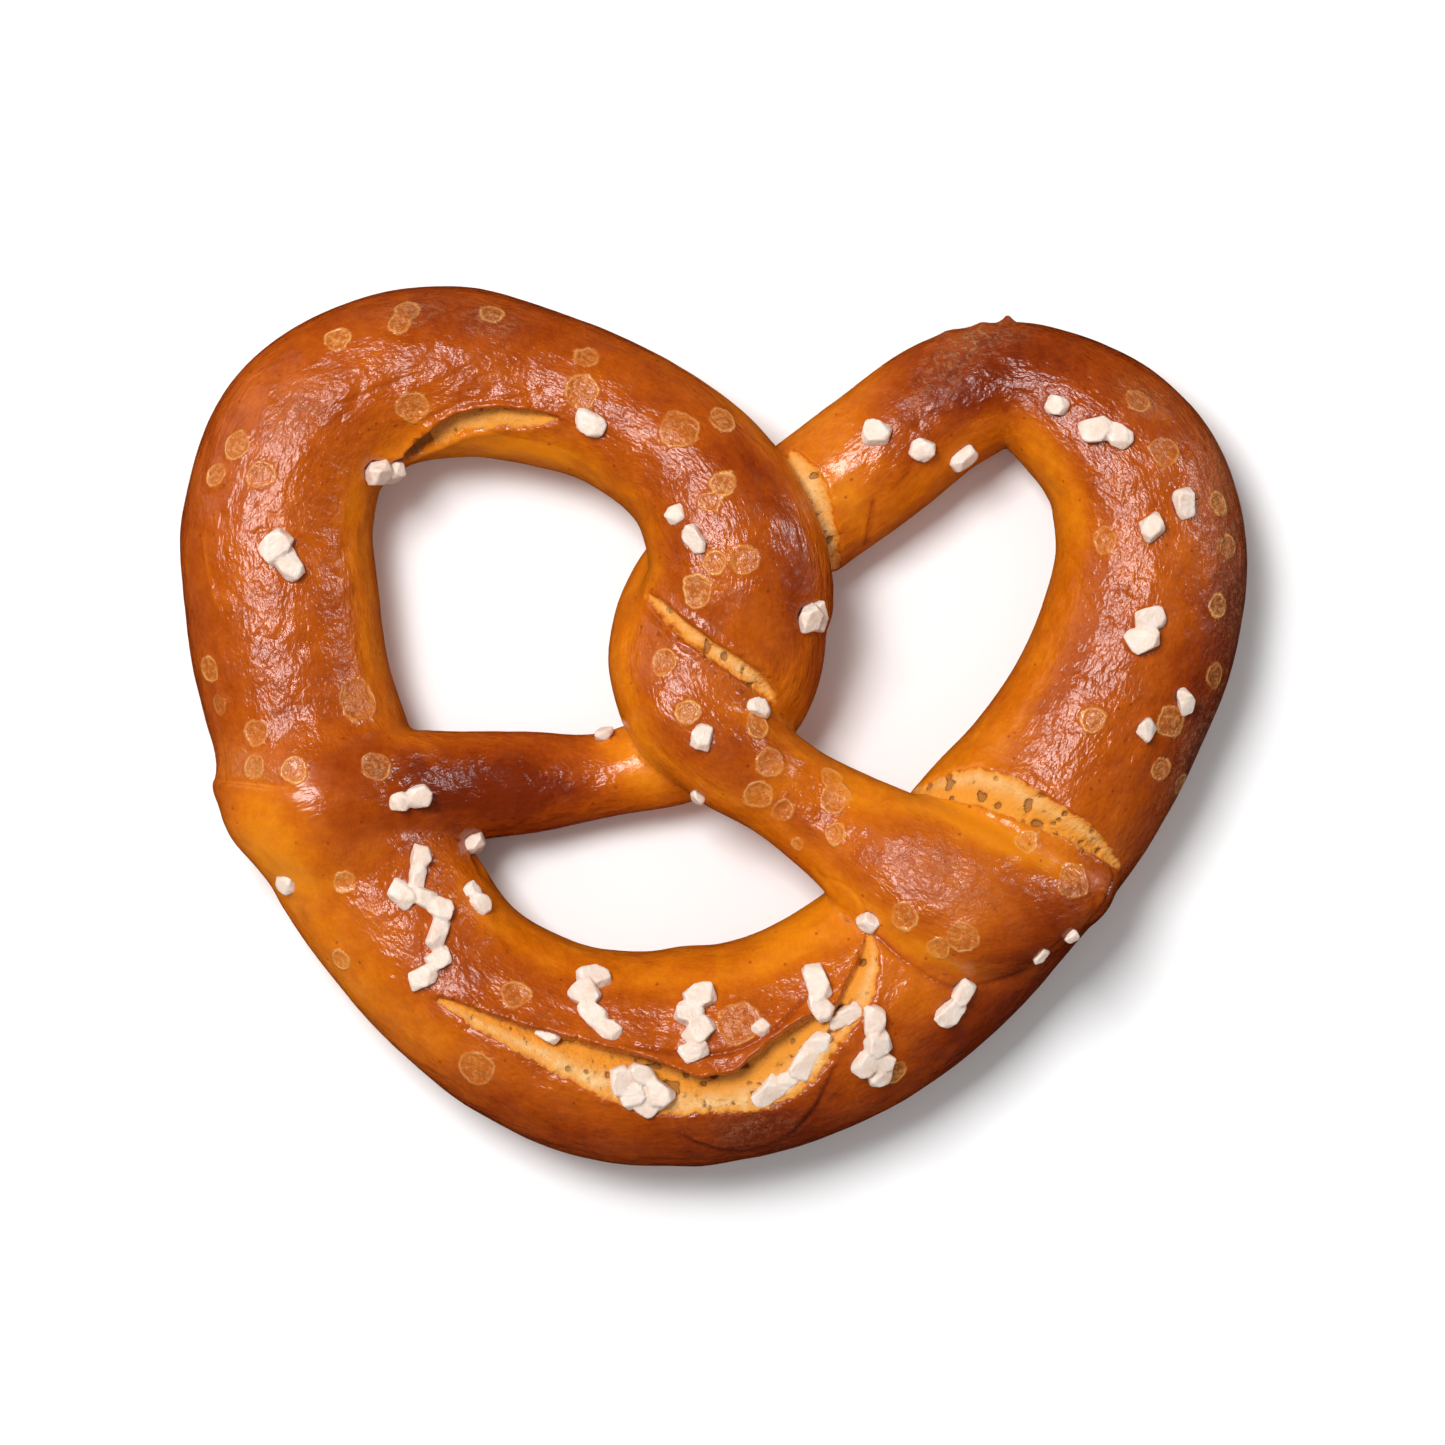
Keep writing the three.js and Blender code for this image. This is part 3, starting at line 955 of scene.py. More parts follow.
# ---------------------------------------------------------------------------------------------
# Finishes
# ---------------------------------------------------------------------------------------------


class Shader:
    """A material under construction: makes nodes, sets their values and joins them."""

    def __init__(self, name: str) -> None:
        """Starts a material that holds only its output and a Principled shader."""
        self.material = bpy.data.materials.new(name)
        self.material.use_nodes = True
        self.tree = self.material.node_tree
        self.surface = self.tree.nodes["Principled BSDF"]

    def node(self, kind: str, settings: dict | None = None, **sockets: object) -> bpy.types.Node:
        """Adds a node.

        Args:
            kind: The node's type, such as "ShaderNodeMath".
            settings: Its own properties.
            **sockets: A value or an output socket for each input, by name with _ for a space.

        Returns:
            The node.
        """
        node = self.tree.nodes.new(kind)
        for key, value in (settings or {}).items():
            setattr(node, key, value)
        for key, value in sockets.items():
            self.feed(node.inputs[key.replace("_", " ")], value)
        return node

    def feed(self, socket: bpy.types.NodeSocket, value: object) -> None:
        """Joins an output to the socket, or sets the socket's value."""
        if isinstance(value, bpy.types.NodeSocket):
            self.tree.links.new(value, socket)
        else:
            socket.default_value = value

    def dress(self, **sockets: object) -> None:
        """Sets or joins inputs of the Principled shader, by name with _ for a space."""
        for key, value in sockets.items():
            self.feed(self.surface.inputs[key.replace("_", " ")], value)

    def math(self, operation: str, first: object, second: object = 0.0) -> bpy.types.NodeSocket:
        """One sum on two values, kept as the node's output."""
        node = self.tree.nodes.new("ShaderNodeMath")
        node.operation = operation
        self.feed(node.inputs[0], first)
        self.feed(node.inputs[1], second)
        return node.outputs[0]

    def total(self, *values: object) -> object:
        """The sum of several values."""
        result = values[0]
        for value in values[1:]:
            result = self.math("ADD", result, value)
        return result

    def product(self, *values: object) -> object:
        """The product of several values."""
        result = values[0]
        for value in values[1:]:
            result = self.math("MULTIPLY", result, value)
        return result

    def attribute(self, name: str) -> bpy.types.NodeSocket:
        """Reads a mesh attribute that holds one number at each vertex."""
        return self.node("ShaderNodeAttribute", {"attribute_name": name}).outputs["Fac"]

    def noise(self, vector: object, scale: float, detail: float = 2.0, rough: float = 0.5) -> object:
        """Noise over a vector, from 0 to 1."""
        node = self.node("ShaderNodeTexNoise", None, Vector=vector, Scale=scale, Detail=detail)
        node.inputs["Roughness"].default_value = rough
        return node.outputs["Fac"]

    def cells(self, vector: object, scale: float) -> object:
        """The distance from the nearest of many scattered points, counted in cells."""
        node = self.node("ShaderNodeTexVoronoi", {"feature": "F1"}, Vector=vector, Scale=scale)
        return node.outputs["Distance"]

    def stretch(
        self, value: object, low: float, high: float, start: float = 0.0, end: float = 1.0
    ) -> object:
        """Maps low..high onto start..end, and stops there."""
        node = self.node("ShaderNodeMapRange", None, Value=value)
        for key, number in zip(("From Min", "From Max", "To Min", "To Max"), (low, high, start, end)):
            node.inputs[key].default_value = number
        return node.outputs["Result"]

    def ramp(self, value: object, stops: tuple) -> object:
        """A colour for each value: stops are (place, red, green, blue)."""
        node = self.node("ShaderNodeValToRGB", None, Fac=value)
        elements = node.color_ramp.elements
        while len(elements) < len(stops):
            elements.new(0.5)
        for element, (place, *colour) in zip(elements, stops):
            element.position = place
            element.color = (*colour, 1.0)
        return node.outputs["Color"]

    def mix(self, share: object, first: object, second: object, blend: str = "MIX") -> object:
        """Mixes two colours."""
        node = self.node("ShaderNodeMix", {"data_type": "RGBA", "blend_type": blend})
        self.feed(node.inputs["Factor"], share)
        for socket, value in ((node.inputs[6], first), (node.inputs[7], second)):
            self.feed(socket, (*value, 1.0) if isinstance(value, tuple) else value)
        return node.outputs[2]

    def bump(self, height: object, distance: float, strength: float, under: object = None) -> object:
        """Turns a height into a bent normal, over another bent normal if one is given."""
        node = self.node("ShaderNodeBump", None, Height=height, Distance=distance, Strength=strength)
        if under is not None:
            self.feed(node.inputs["Normal"], under)
        return node.outputs["Normal"]


@dataclass(frozen=True)
class Cloud:
    """Noise of one scale (cells a metre), its values from `low` to `high` spread over start..end."""

    scale: float
    detail: float
    rough: float
    low: float
    high: float
    start: float = 0.0
    end: float = 1.0

    def over(self, shader: Shader, place: object) -> object:
        """Builds the noise over a place."""
        noise = shader.noise(place, self.scale, self.detail, self.rough)
        return shader.stretch(noise, self.low, self.high, self.start, self.end)


@dataclass(frozen=True)
class CrustFinish:
    """The lye crust: amber where it was shaded, mahogany where the oven reached it, and glossy.

    Colours are linear red, green and blue. The crumb and the blisters are drawn from distances in
    mm that the skin carries, so their edges are crisp between its vertices. `stops` are the shades
    of browning that the first five colours stand at.
    """

    amber: tuple = (0.74, 0.215, 0.004)
    orange: tuple = (0.57, 0.128, 0.002)
    brown: tuple = (0.43, 0.078, 0.002)
    mahogany: tuple = (0.29, 0.040, 0.001)
    dark: tuple = (0.17, 0.018, 0.001)
    stops: tuple = (0.0, 0.28, 0.52, 0.78, 1.0)
    blister: tuple = (0.76, 0.34, 0.085)
    scuff: tuple = (0.42, 0.17, 0.055)
    cream: tuple = (0.82, 0.54, 0.24)
    baked_crumb: tuple = (0.76, 0.28, 0.022)
    # The dark colour painted into the crumb's pores: painted shade in its holes.
    pore: tuple = (0.26, 0.10, 0.018)
    roughness: float = 0.19
    ring_wobble: Cloud = Cloud(520.0, 3.0, 0.6, 0.2, 0.8, -0.45, 0.45)
    ring_breaks: Cloud = Cloud(430.0, 2.0, 0.5, 0.36, 0.56, 0.35, 1.0)
    disc_threads: Cloud = Cloud(1500.0, 3.0, 0.65, 0.46, 0.62, 0.16, 0.66)
    tear_wobble: Cloud = Cloud(600.0, 3.0, 0.6, 0.2, 0.8, -0.4, 0.4)
    crumb_clouds: Cloud = Cloud(520.0, 4.0, 0.65, 0.32, 0.62, 0.25, 1.0)
    pore_groups: Cloud = Cloud(380.0, 2.0, 0.5, 0.50, 0.60)
    pore_fray: Cloud = Cloud(900.0, 2.0, 0.5, 0.25, 0.75, -0.3, 0.3)
    shade_clouds: Cloud = Cloud(120.0, 3.0, 0.6, 0.3, 0.7, -0.11, 0.11)
    shade_blotches: Cloud = Cloud(430.0, 4.0, 0.65, 0.3, 0.7, -0.08, 0.08)
    shade_grain: Cloud = Cloud(1700.0, 3.0, 0.7, 0.3, 0.72, -0.06, 0.06)
    scuff_pimples: Cloud = Cloud(1100.0, 3.0, 0.7, 0.47, 0.60)
    gloss_patches: Cloud = Cloud(210.0, 3.0, 0.6, 0.35, 0.65, -0.02, 0.08)

    def blister_share(self, shader: Shader, place: object) -> object:
        """How much of the skin is blister: a broken thin ring, and threads on a faint disc."""
        wobble = self.ring_wobble.over(shader, place)
        edge = shader.math("ADD", shader.attribute("blister"), wobble)
        ring = shader.stretch(shader.math("ABSOLUTE", edge), 0.05, 0.34, 1.0, 0.0)
        broken = self.ring_breaks.over(shader, place)
        disc = shader.stretch(edge, 0.15, -0.25)
        threads = self.disc_threads.over(shader, place)
        both = shader.math("MAXIMUM", shader.product(ring, broken), shader.product(disc, threads))
        return shader.product(both, shader.attribute("paleness"))

    def crumb_share(self, shader: Shader, place: object) -> tuple[object, object]:
        """How much of the skin is crumb, and the distance outside the ragged edge of the tear."""
        coarse = self.tear_wobble.over(shader, place)
        edge = shader.math("ADD", shader.attribute("tear"), coarse)
        return shader.stretch(edge, 0.16, -0.16), edge

    def bread(self, shader: Shader, place: object, edge: object) -> tuple[object, object]:
        """The crumb's colour, cream in the middle and baked yellow at its edges, with painted shade in its
        pores, and the pores' share.
        """
        inward = shader.stretch(edge, -0.1, -1.1)
        cloudy = self.crumb_clouds.over(shader, place)
        pale = shader.product(inward, cloudy, shader.attribute("cream"))
        colour = shader.mix(pale, self.baked_crumb, self.cream)
        small = shader.stretch(shader.cells(place, 620.0), 0.16, 0.30, 1.0, 0.0)
        some = self.pore_groups.over(shader, place)
        frayed = self.pore_fray.over(shader, place)
        large = shader.stretch(shader.math("ADD", shader.attribute("pore"), frayed), 0.45, 0.65)
        pores = shader.math("MAXIMUM", shader.product(small, some), large)
        # Painted shade: the pores take the dark pore colour over the crumb.
        return shader.mix(shader.product(pores, 0.72), colour, self.pore), pores

    def material(self) -> bpy.types.Material:
        """Builds the crust from the skin's attributes and layers of noise."""
        shader = Shader("baked_crust")
        place = shader.node("ShaderNodeTexCoord").outputs["Object"]
        rope = shader.node("ShaderNodeAttribute", {"attribute_name": "rope"}).outputs["Vector"]
        scuffed = shader.attribute("scuffed")
        browning = shader.attribute("browning")

        layers = (self.shade_clouds, self.shade_blotches, self.shade_grain)
        shade = shader.total(browning, *(layer.over(shader, place) for layer in layers))
        colours = (self.amber, self.orange, self.brown, self.mahogany, self.dark)
        crust = shader.ramp(shade, tuple((at, *tone) for at, tone in zip(self.stops, colours)))
        specks = shader.stretch(shader.cells(place, 360.0), 0.06, 0.11, 0.55, 0.0)
        crust = shader.mix(specks, crust, self.dark)
        pimples = self.scuff_pimples.over(shader, place)
        crust = shader.mix(shader.product(scuffed, pimples, 0.75), crust, self.scuff)
        blister = self.blister_share(shader, place)
        crust = shader.mix(blister, crust, self.blister)
        crumb, edge = self.crumb_share(shader, place)
        bread, pores = self.bread(shader, place, edge)
        shader.dress(Base_Color=shader.mix(crumb, crust, bread))

        patchy = self.gloss_patches.over(shader, place)
        dull = shader.math("MAXIMUM", shader.product(crumb, 0.65), shader.product(scuffed, 0.22))
        shader.dress(Roughness=shader.total(patchy, dull, self.roughness), Specular_IOR_Level=0.5)

        lumpy = shader.node("ShaderNodeMapping", None, Vector=rope, Scale=(0.50, 0.75, 0.0))
        fine = shader.node("ShaderNodeMapping", None, Vector=rope, Scale=(1.4, 2.4, 0.0))
        lumps = shader.noise(lumpy.outputs["Vector"], 1.0, 1.5, 0.45)
        wrinkles = shader.noise(fine.outputs["Vector"], 1.0, 2.0, 0.5)
        sure = shader.node("ShaderNodeSeparateXYZ", None, Vector=rope).outputs["Z"]
        slack = shader.product(shader.stretch(browning, 0.2, 0.45, 0.35, 1.0), sure)
        normal = shader.bump(shader.product(lumps, slack), 0.0003, 1.0)
        normal = shader.bump(shader.product(wrinkles, slack), 0.00013, 1.0, normal)
        normal = shader.bump(blister, 0.00014, 0.9, normal)
        normal = shader.bump(shader.product(pimples, scuffed), 0.0003, 0.8, normal)
        crumbly = shader.noise(place, 1500.0, 3.0, 0.7)
        hollow = shader.product(crumb, shader.math("SUBTRACT", crumbly, pores))
        shader.dress(Normal=shader.bump(hollow, 0.0005, 0.7, normal))
        return shader.material


@dataclass(frozen=True)
class SaltFinish:
    """Coarse salt: creamy white, a little see-through, with dull broken faces."""

    colour: tuple = (0.84, 0.72, 0.63)
    cloud: tuple = (0.78, 0.59, 0.47)
    roughness: float = 0.38

    def material(self) -> bpy.types.Material:
        """Builds the salt from layers of noise."""
        shader = Shader("coarse_salt")
        place = shader.node("ShaderNodeTexCoord").outputs["Object"]
        cloudy = Cloud(420.0, 3.0, 0.6, 0.35, 0.7).over(shader, place)
        shader.dress(
            Base_Color=shader.mix(cloudy, self.colour, self.cloud),
            Roughness=self.roughness,
            Specular_IOR_Level=0.4,
            Subsurface_Weight=0.35,
            Subsurface_Radius=(1.0, 0.75, 0.6),
            Subsurface_Scale=0.0009,
        )
        chips = shader.noise(place, 700.0, 4.0, 0.6)
        grain = shader.noise(place, 2600.0, 3.0, 0.6)
        shader.dress(Normal=shader.bump(grain, 0.0001, 0.6, shader.bump(chips, 0.0006, 0.5)))
        return shader.material


@dataclass(frozen=True)
class PaperFinish:
    """The plain white floor."""

    colour: tuple = (0.93, 0.93, 0.93)

    def material(self) -> bpy.types.Material:
        """Builds the dull white."""
        shader = Shader("white_paper")
        shader.dress(Base_Color=(*self.colour, 1.0), Roughness=0.9, Specular_IOR_Level=0.0)
        return shader.material


# ---------------------------------------------------------------------------------------------
# The pretzel
# ---------------------------------------------------------------------------------------------

ROPE = Rope(
    (
        # left arm: its end lies over the left loop, and the rest runs to the twist
        (-62.6, -11.4, 15.0, 5.2, 5.2), (-55.5, -10.8, 16.6, 8.0, 6.6), (-46.5, -9.4, 14.6, 8.8, 6.8),
        (-36.0, -8.5, 9.2, 7.8, 6.8), (-25.5, -7.9, 6.2, 7.1, 6.4), (-15.5, -6.8, 5.8, 6.0, 6.0),
        (-6.0, -4.2, 6.2, 7.0, 6.6),
        # under the right arm, up the right side of the twist, and over the right loop
        (1.6, 0.8, 8.0, 8.4, 8.0), (5.9, 8.0, 11.4, 9.0, 9.6), (3.8, 16.5, 14.4, 12.8, 10.2),
        (2.6, 26.0, 15.0, 12.4, 10.2), (-2.8, 35.7, 12.8, 10.8, 10.4),
        # left loop
        (-12.8, 43.2, 10.2, 10.4, 10.6), (-24.0, 47.5, 9.2, 10.9, 10.6), (-36.2, 49.9, 9.2, 12.0, 10.8),
        (-48.4, 47.8, 9.4, 12.3, 11.0), (-57.9, 40.4, 9.6, 12.9, 11.3), (-61.5, 29.0, 9.8, 13.4, 11.5),
        (-60.9, 17.5, 9.8, 13.7, 11.5), (-59.1, 6.0, 9.8, 13.5, 11.5), (-55.6, -5.0, 9.8, 13.4, 11.4),
        (-51.3, -15.3, 9.8, 13.2, 11.4),
        # belly
        (-44.9, -25.2, 9.9, 13.3, 11.6), (-37.2, -34.8, 10.2, 12.8, 12.0),
        (-27.0, -42.0, 10.7, 13.7, 12.6), (-15.5, -46.1, 11.1, 14.8, 13.0),
        (-3.0, -46.3, 11.2, 15.2, 13.2), (9.0, -43.9, 11.1, 15.1, 13.0),
        (20.4, -38.4, 10.8, 15.2, 12.7), (31.0, -29.8, 10.6, 15.2, 12.5),
        # right loop
        (40.0, -18.7, 10.5, 15.7, 12.4), (48.5, -8.5, 10.4, 15.0, 12.2), (55.0, 2.3, 10.3, 14.3, 12.1),
        (59.6, 13.3, 10.2, 14.0, 12.0), (61.3, 25.0, 9.9, 13.4, 11.6), (58.6, 35.8, 9.5, 12.5, 11.2),
        (51.8, 43.4, 8.8, 10.9, 10.3), (42.3, 48.2, 7.6, 8.9, 9.0), (32.6, 45.4, 7.4, 9.5, 8.7),
        (23.3, 38.5, 7.4, 9.8, 8.7), (14.3, 31.9, 7.0, 9.7, 8.3),
        # under the left loop and down the left side of the twist
        (5.2, 25.4, 6.6, 9.2, 7.6), (-2.4, 19.4, 7.4, 9.2, 8.2), (-5.4, 11.2, 11.2, 9.4, 9.0),
        (-3.5, 3.2, 14.4, 9.6, 9.0), (2.2, -3.4, 15.2, 8.3, 8.2),
        # right arm: over the left one, across the gap, and spread over the belly at its end
        (9.8, -8.8, 13.4, 7.2, 7.2), (17.7, -14.0, 13.8, 8.2, 7.2), (26.0, -19.5, 18.2, 10.2, 7.2),
        (35.0, -23.6, 20.6, 10.9, 6.8), (43.6, -24.0, 19.2, 8.8, 6.4), (50.2, -22.6, 15.8, 5.4, 5.4),
    )
)

BELLY_SPLIT = Split(
    (
        (-38.0, -38.0, 0.4, 0.4), (-31.5, -41.2, 1.3, 0.9), (-24.0, -44.4, 2.0, 1.3),
        (-16.0, -47.6, 3.1, 1.6), (-9.0, -50.0, 3.6, 1.6), (-2.0, -51.1, 2.7, 1.6),
        (5.0, -50.2, 3.3, 1.5), (10.0, -47.0, 4.0, 1.4), (14.0, -43.2, 3.2, 1.2),
        (17.5, -39.6, 1.2, 0.8),
    ),
    left_lip=0.85,
    right_lip=0.1,
    tilt=0.8,
    cream=1.0,
)
BRANCH_SPLIT = Split(
    (
        (21.4, -28.6, 0.4, 0.4), (21.4, -31.6, 1.1, 0.8), (20.3, -35.4, 1.9, 1.0),
        (18.8, -39.2, 1.9, 1.0), (17.0, -42.6, 1.2, 0.9),
    ),
    left_lip=0.15,
    right_lip=0.45,
    tilt=-0.4,
    cream=0.9,
)
SHOULDER_SPLIT = Split(
    (
        (27.8, -8.9, 0.4, 0.2), (31.2, -8.2, 1.7, 0.5), (35.0, -8.1, 2.5, 0.6), (39.0, -9.1, 2.7, 0.6),
        (43.0, -10.8, 2.5, 0.6), (47.0, -12.8, 2.0, 0.6), (51.0, -15.0, 1.6, 0.6),
        (54.4, -17.7, 1.0, 0.5), (56.2, -19.4, 0.3, 0.3),
    ),
    left_lip=0.15,
    right_lip=0.0,
    tilt=-0.7,
    cream=0.62,
)
TWIST_SPLIT = Split(
    (
        (-9.3, 18.2, 0.3, 0.3), (-7.0, 16.0, 0.8, 0.8), (-4.0, 13.3, 1.0, 1.0), (-1.0, 11.0, 1.0, 1.0),
        (2.2, 8.8, 1.1, 1.0), (5.2, 6.6, 1.2, 1.0), (7.2, 4.8, 0.8, 0.8), (8.2, 3.4, 0.2, 0.3),
    ),
    left_lip=0.45,
    right_lip=0.35,
    cream=0.75,
    ragged=0.25,
)
UNDER_LOOP_SPLIT = Split(
    (
        (10.6, 38.4, 0.5, 0.2), (12.6, 35.0, 1.9, 0.4), (14.4, 30.6, 1.8, 0.5), (16.0, 26.2, 1.3, 0.5),
        (16.9, 22.0, 0.6, 0.3),
    ),
    left_lip=0.2,
    right_lip=0.0,
    cream=0.7,
)
INNER_SPLIT = Split(
    (
        (-45.0, 37.0, 0.4, 1.0), (-42.6, 38.2, 1.3, 3.0), (-39.4, 40.0, 1.6, 2.6),
        (-35.6, 41.9, 1.7, 1.6), (-31.0, 42.9, 1.5, 1.1), (-26.0, 42.7, 1.1, 0.8),
        (-22.0, 42.7, 0.3, 0.4),
    ),
    left_lip=0.8,
    right_lip=0.15,
    tilt=0.5,
    cream=0.3,
    porous=0.15,
)
SPLITS = (BELLY_SPLIT, BRANCH_SPLIT, SHOULDER_SPLIT, TWIST_SPLIT, UNDER_LOOP_SPLIT, INNER_SPLIT)

# The hollow at the deep end of the inner tear, where the crumb is painted dark as painted shade.
HOLLOW_SHADE = Spot((-42.4, 38.1, 14.0), 1.6, 4.6)

CREASES = (
    # the peeled flap under the belly's tear
    Crease(
        (
            (-5.0, -56.6, 0.3, 0.1), (-1.5, -58.2, 0.5, 0.35), (4.0, -59.2, 0.6, 0.45),
            (9.6, -57.2, 0.6, 0.45), (13.8, -53.0, 0.6, 0.35), (16.4, -47.4, 0.5, 0.15),
        ),
        left_roll=0.45,
        roll_width=4.0,
        shade=0.18,
    ),
    # the rolled edge of the crust above that tear
    Crease(
        (
            (-12.0, -44.0, 0.3, 0.1), (-5.0, -45.2, 0.4, 0.45), (2.0, -45.0, 0.4, 0.5),
            (8.0, -42.2, 0.4, 0.5), (12.4, -37.6, 0.4, 0.3),
        ),
        right_roll=0.35,
        roll_width=2.2,
        shade=0.2,
    ),
    # the edge of the right arm where it lies on the belly
    Crease(
        (
            (21.6, -28.2, 0.3, 0.1), (26.0, -32.2, 0.4, 0.45), (33.0, -36.0, 0.6, 0.25),
            (41.0, -34.6, 0.5, 0.15), (48.0, -29.6, 0.3, 0.1),
        ),
        left_roll=0.35,
        roll_width=3.0,
        shade=0.2,
    ),
    # round the right arm's end
    Crease(
        (
            (53.4, -17.6, 0.3, 0.1), (55.4, -20.4, 0.4, 0.6), (54.2, -24.4, 0.4, 0.6),
            (51.2, -28.0, 0.3, 0.1),
        ),
        right_roll=0.3,
        roll_width=2.0,
        shade=-0.15,
    ),
    # the left arm's end
    Crease(
        (
            (-69.6, -7.6, 0.3, 0.2), (-64.6, -7.9, 0.4, 0.3), (-58.6, -8.6, 0.4, 0.1),
        ),
        right_roll=0.3,
        roll_width=2.5,
        shade=-0.1,
    ),
    # fine ridges and folds on the loops
    Crease(((-71.0, 27.0, 0.3, -0.05), (-70.4, 21.0, 0.35, -0.22), (-68.2, 14.6, 0.3, -0.05)), shade=-0.15),
    Crease(((-58.6, 27.4, 0.3, 0.05), (-63.6, 26.8, 0.35, 0.2), (-61.2, 21.4, 0.3, 0.15)), shade=0.0),
    Crease(((-52.6, 44.6, 0.3, 0.05), (-47.0, 46.8, 0.5, 0.14), (-42.0, 48.6, 0.3, 0.05)), shade=0.06),
    Crease(((-40.6, 42.8, 0.3, 0.1), (-34.0, 45.2, 0.5, 0.16), (-27.0, 45.4, 0.3, 0.05)), shade=0.05),
    Crease(((22.2, 32.0, 0.3, 0.05), (21.8, 29.0, 0.4, 0.25), (21.2, 25.6, 0.4, 0.2)), shade=0.3),
    Crease(((25.0, 33.0, 0.3, 0.05), (27.8, 37.0, 0.5, 0.14), (28.4, 42.6, 0.3, 0.05)), shade=0.08),
    Crease(
        ((41.6, 56.6, 0.3, 0.15), (37.0, 53.6, 0.45, 0.18), (33.0, 49.0, 0.45, 0.12), (30.4, 43.6, 0.3, 0.05)),
        shade=0.12,
    ),
    Crease(((32.0, 54.6, 0.3, 0.1), (29.4, 50.4, 0.45, 0.12), (26.4, 46.6, 0.3, 0.05)), shade=0.08),
    Crease(((14.6, -20.6, 0.3, 0.05), (19.0, -23.0, 0.4, 0.3), (21.8, -27.8, 0.3, 0.1)), shade=-0.1),
)

NIBS = (
    Nib((41.2, 57.0, 9.5), 0.8, 1.1), Nib((37.6, 56.2, 9.5), 1.2, 0.5),
    Nib((33.2, 54.6, 9.0), 1.6, 0.5), Nib((-66.6, -15.0, 13.0), 0.8, 1.0),
    Nib((-69.2, -8.6, 13.0), 2.0, 0.6), Nib((14.4, -57.2, 9.0), 0.9, -0.9),
)

BLISTERS = tuple(
    Blister(*row)
    for row in (
        (-52.5, 54.0, 1.6), (-43.0, 58.0, 1.5), (-44.0, 56.0, 1.4), (-31.0, 57.5, 1.5),
        (-18.0, 51.5, 1.6), (-18.5, 46.5, 2.2), (-42.0, 44.5, 2.0), (-66.5, 39.0, 1.8),
        (-69.5, 35.0, 1.5), (-63.0, 35.0, 1.9), (-5.0, 41.0, 2.6), (1.0, 42.5, 1.9), (-0.5, 31.0, 1.5),
        (1.0, 33.6, 1.7), (-2.5, 18.5, 2.2), (4.0, 23.0, 1.9), (0.0, 22.6, 1.5), (-70.5, 8.0, 1.7),
        (-69.0, 3.0, 1.4), (-49.5, 3.5, 3.0), (-63.5, -1.0, 1.7), (-64.0, -5.5, 1.5),
        (-58.5, -6.0, 1.8), (-47.0, -5.5, 1.9), (-51.5, -21.5, 1.5), (-52.0, -32.5, 1.4),
        (-27.5, -37.0, 1.8), (-33.0, -47.5, 2.4), (-7.0, 8.8, 1.7), (-3.6, 1.9, 1.5), (7.8, -5.0, 2.0),
        (6.0, 0.3, 1.8), (6.0, -9.6, 1.9), (9.4, -11.6, 1.4), (16.6, -15.0, 1.5), (11.4, -16.4, 1.0),
        (17.0, -9.9, 2.0), (16.2, -7.0, 1.3), (26.4, -26.2, 1.8), (34.0, -29.0, 2.0),
        (30.8, -30.4, 1.4), (43.0, -16.0, 1.5), (49.5, -21.5, 2.5), (25.0, -48.0, 1.5),
        (3.4, -40.8, 2.8), (54.0, 26.0, 1.7), (62.5, 38.0, 1.9), (59.0, 45.5, 1.6), (52.5, 1.0, 1.7),
        (63.5, 0.5, 2.0), (70.0, 17.0, 1.5), (71.5, 25.0, 1.5), (70.0, 31.0, 1.6), (69.5, 7.0, 1.6),
        (65.0, -8.0, 1.4), (62.0, -6.0, 1.5),
    )
)

TINTS = (
    # paler: where dough was covered, stretched or welded
    Tint(-12.0, -4.5, 6.0, 3.5, -55.0, 0.36), Tint(-62.0, -16.0, 10.0, 6.0, 118.0, 0.58),
    Tint(-50.0, -35.0, 16.0, 6.0, -48.0, 0.42), Tint(-28.0, -48.0, 14.0, 4.0, -25.0, 0.24),
    Tint(-4.0, -31.5, 26.0, 4.0, 0.0, -0.10), Tint(37.0, -14.0, 12.0, 4.0, -22.0, 0.38),
    Tint(26.0, -34.0, 8.0, 6.0, 40.0, 0.10), Tint(14.0, -27.0, 10.0, 4.0, 35.0, 0.16),
    Tint(40.0, -4.0, 9.0, 5.0, 35.0, 0.12), Tint(17.5, 32.0, 4.5, 3.5, 70.0, 0.20),
    Tint(-9.0, 12.0, 10.0, 4.0, 100.0, 0.10), Tint(45.0, 34.0, 9.0, 4.0, 115.0, 0.02),
    Tint(-56.0, -10.5, 8.0, 4.0, -8.0, 0.16), Tint(-28.0, 38.5, 13.0, 3.0, -5.0, 0.18),
    # browner: where it stood high and free
    Tint(48.0, 16.0, 16.0, 4.0, 80.0, -0.12), Tint(-30.0, -9.0, 15.0, 9.0, 0.0, -0.90),
    Tint(9.0, 30.0, 16.0, 6.0, -62.0, -0.26), Tint(13.0, 11.0, 9.0, 4.5, 75.0, -0.36),
    Tint(-32.0, 57.5, 22.0, 4.5, -5.0, -0.16), Tint(40.0, 48.5, 16.0, 7.0, 18.0, -0.40),
    Tint(61.0, 42.0, 10.0, 8.0, -60.0, -0.08), Tint(69.0, 6.0, 24.0, 6.0, 74.0, -0.34),
    Tint(42.0, -42.0, 20.0, 7.0, 42.0, -0.44), Tint(7.0, -56.5, 13.0, 5.0, 8.0, -0.42),
    Tint(-24.0, -54.0, 18.0, 5.0, -20.0, -0.20), Tint(46.0, -27.0, 10.0, 5.0, 50.0, -0.22),
)

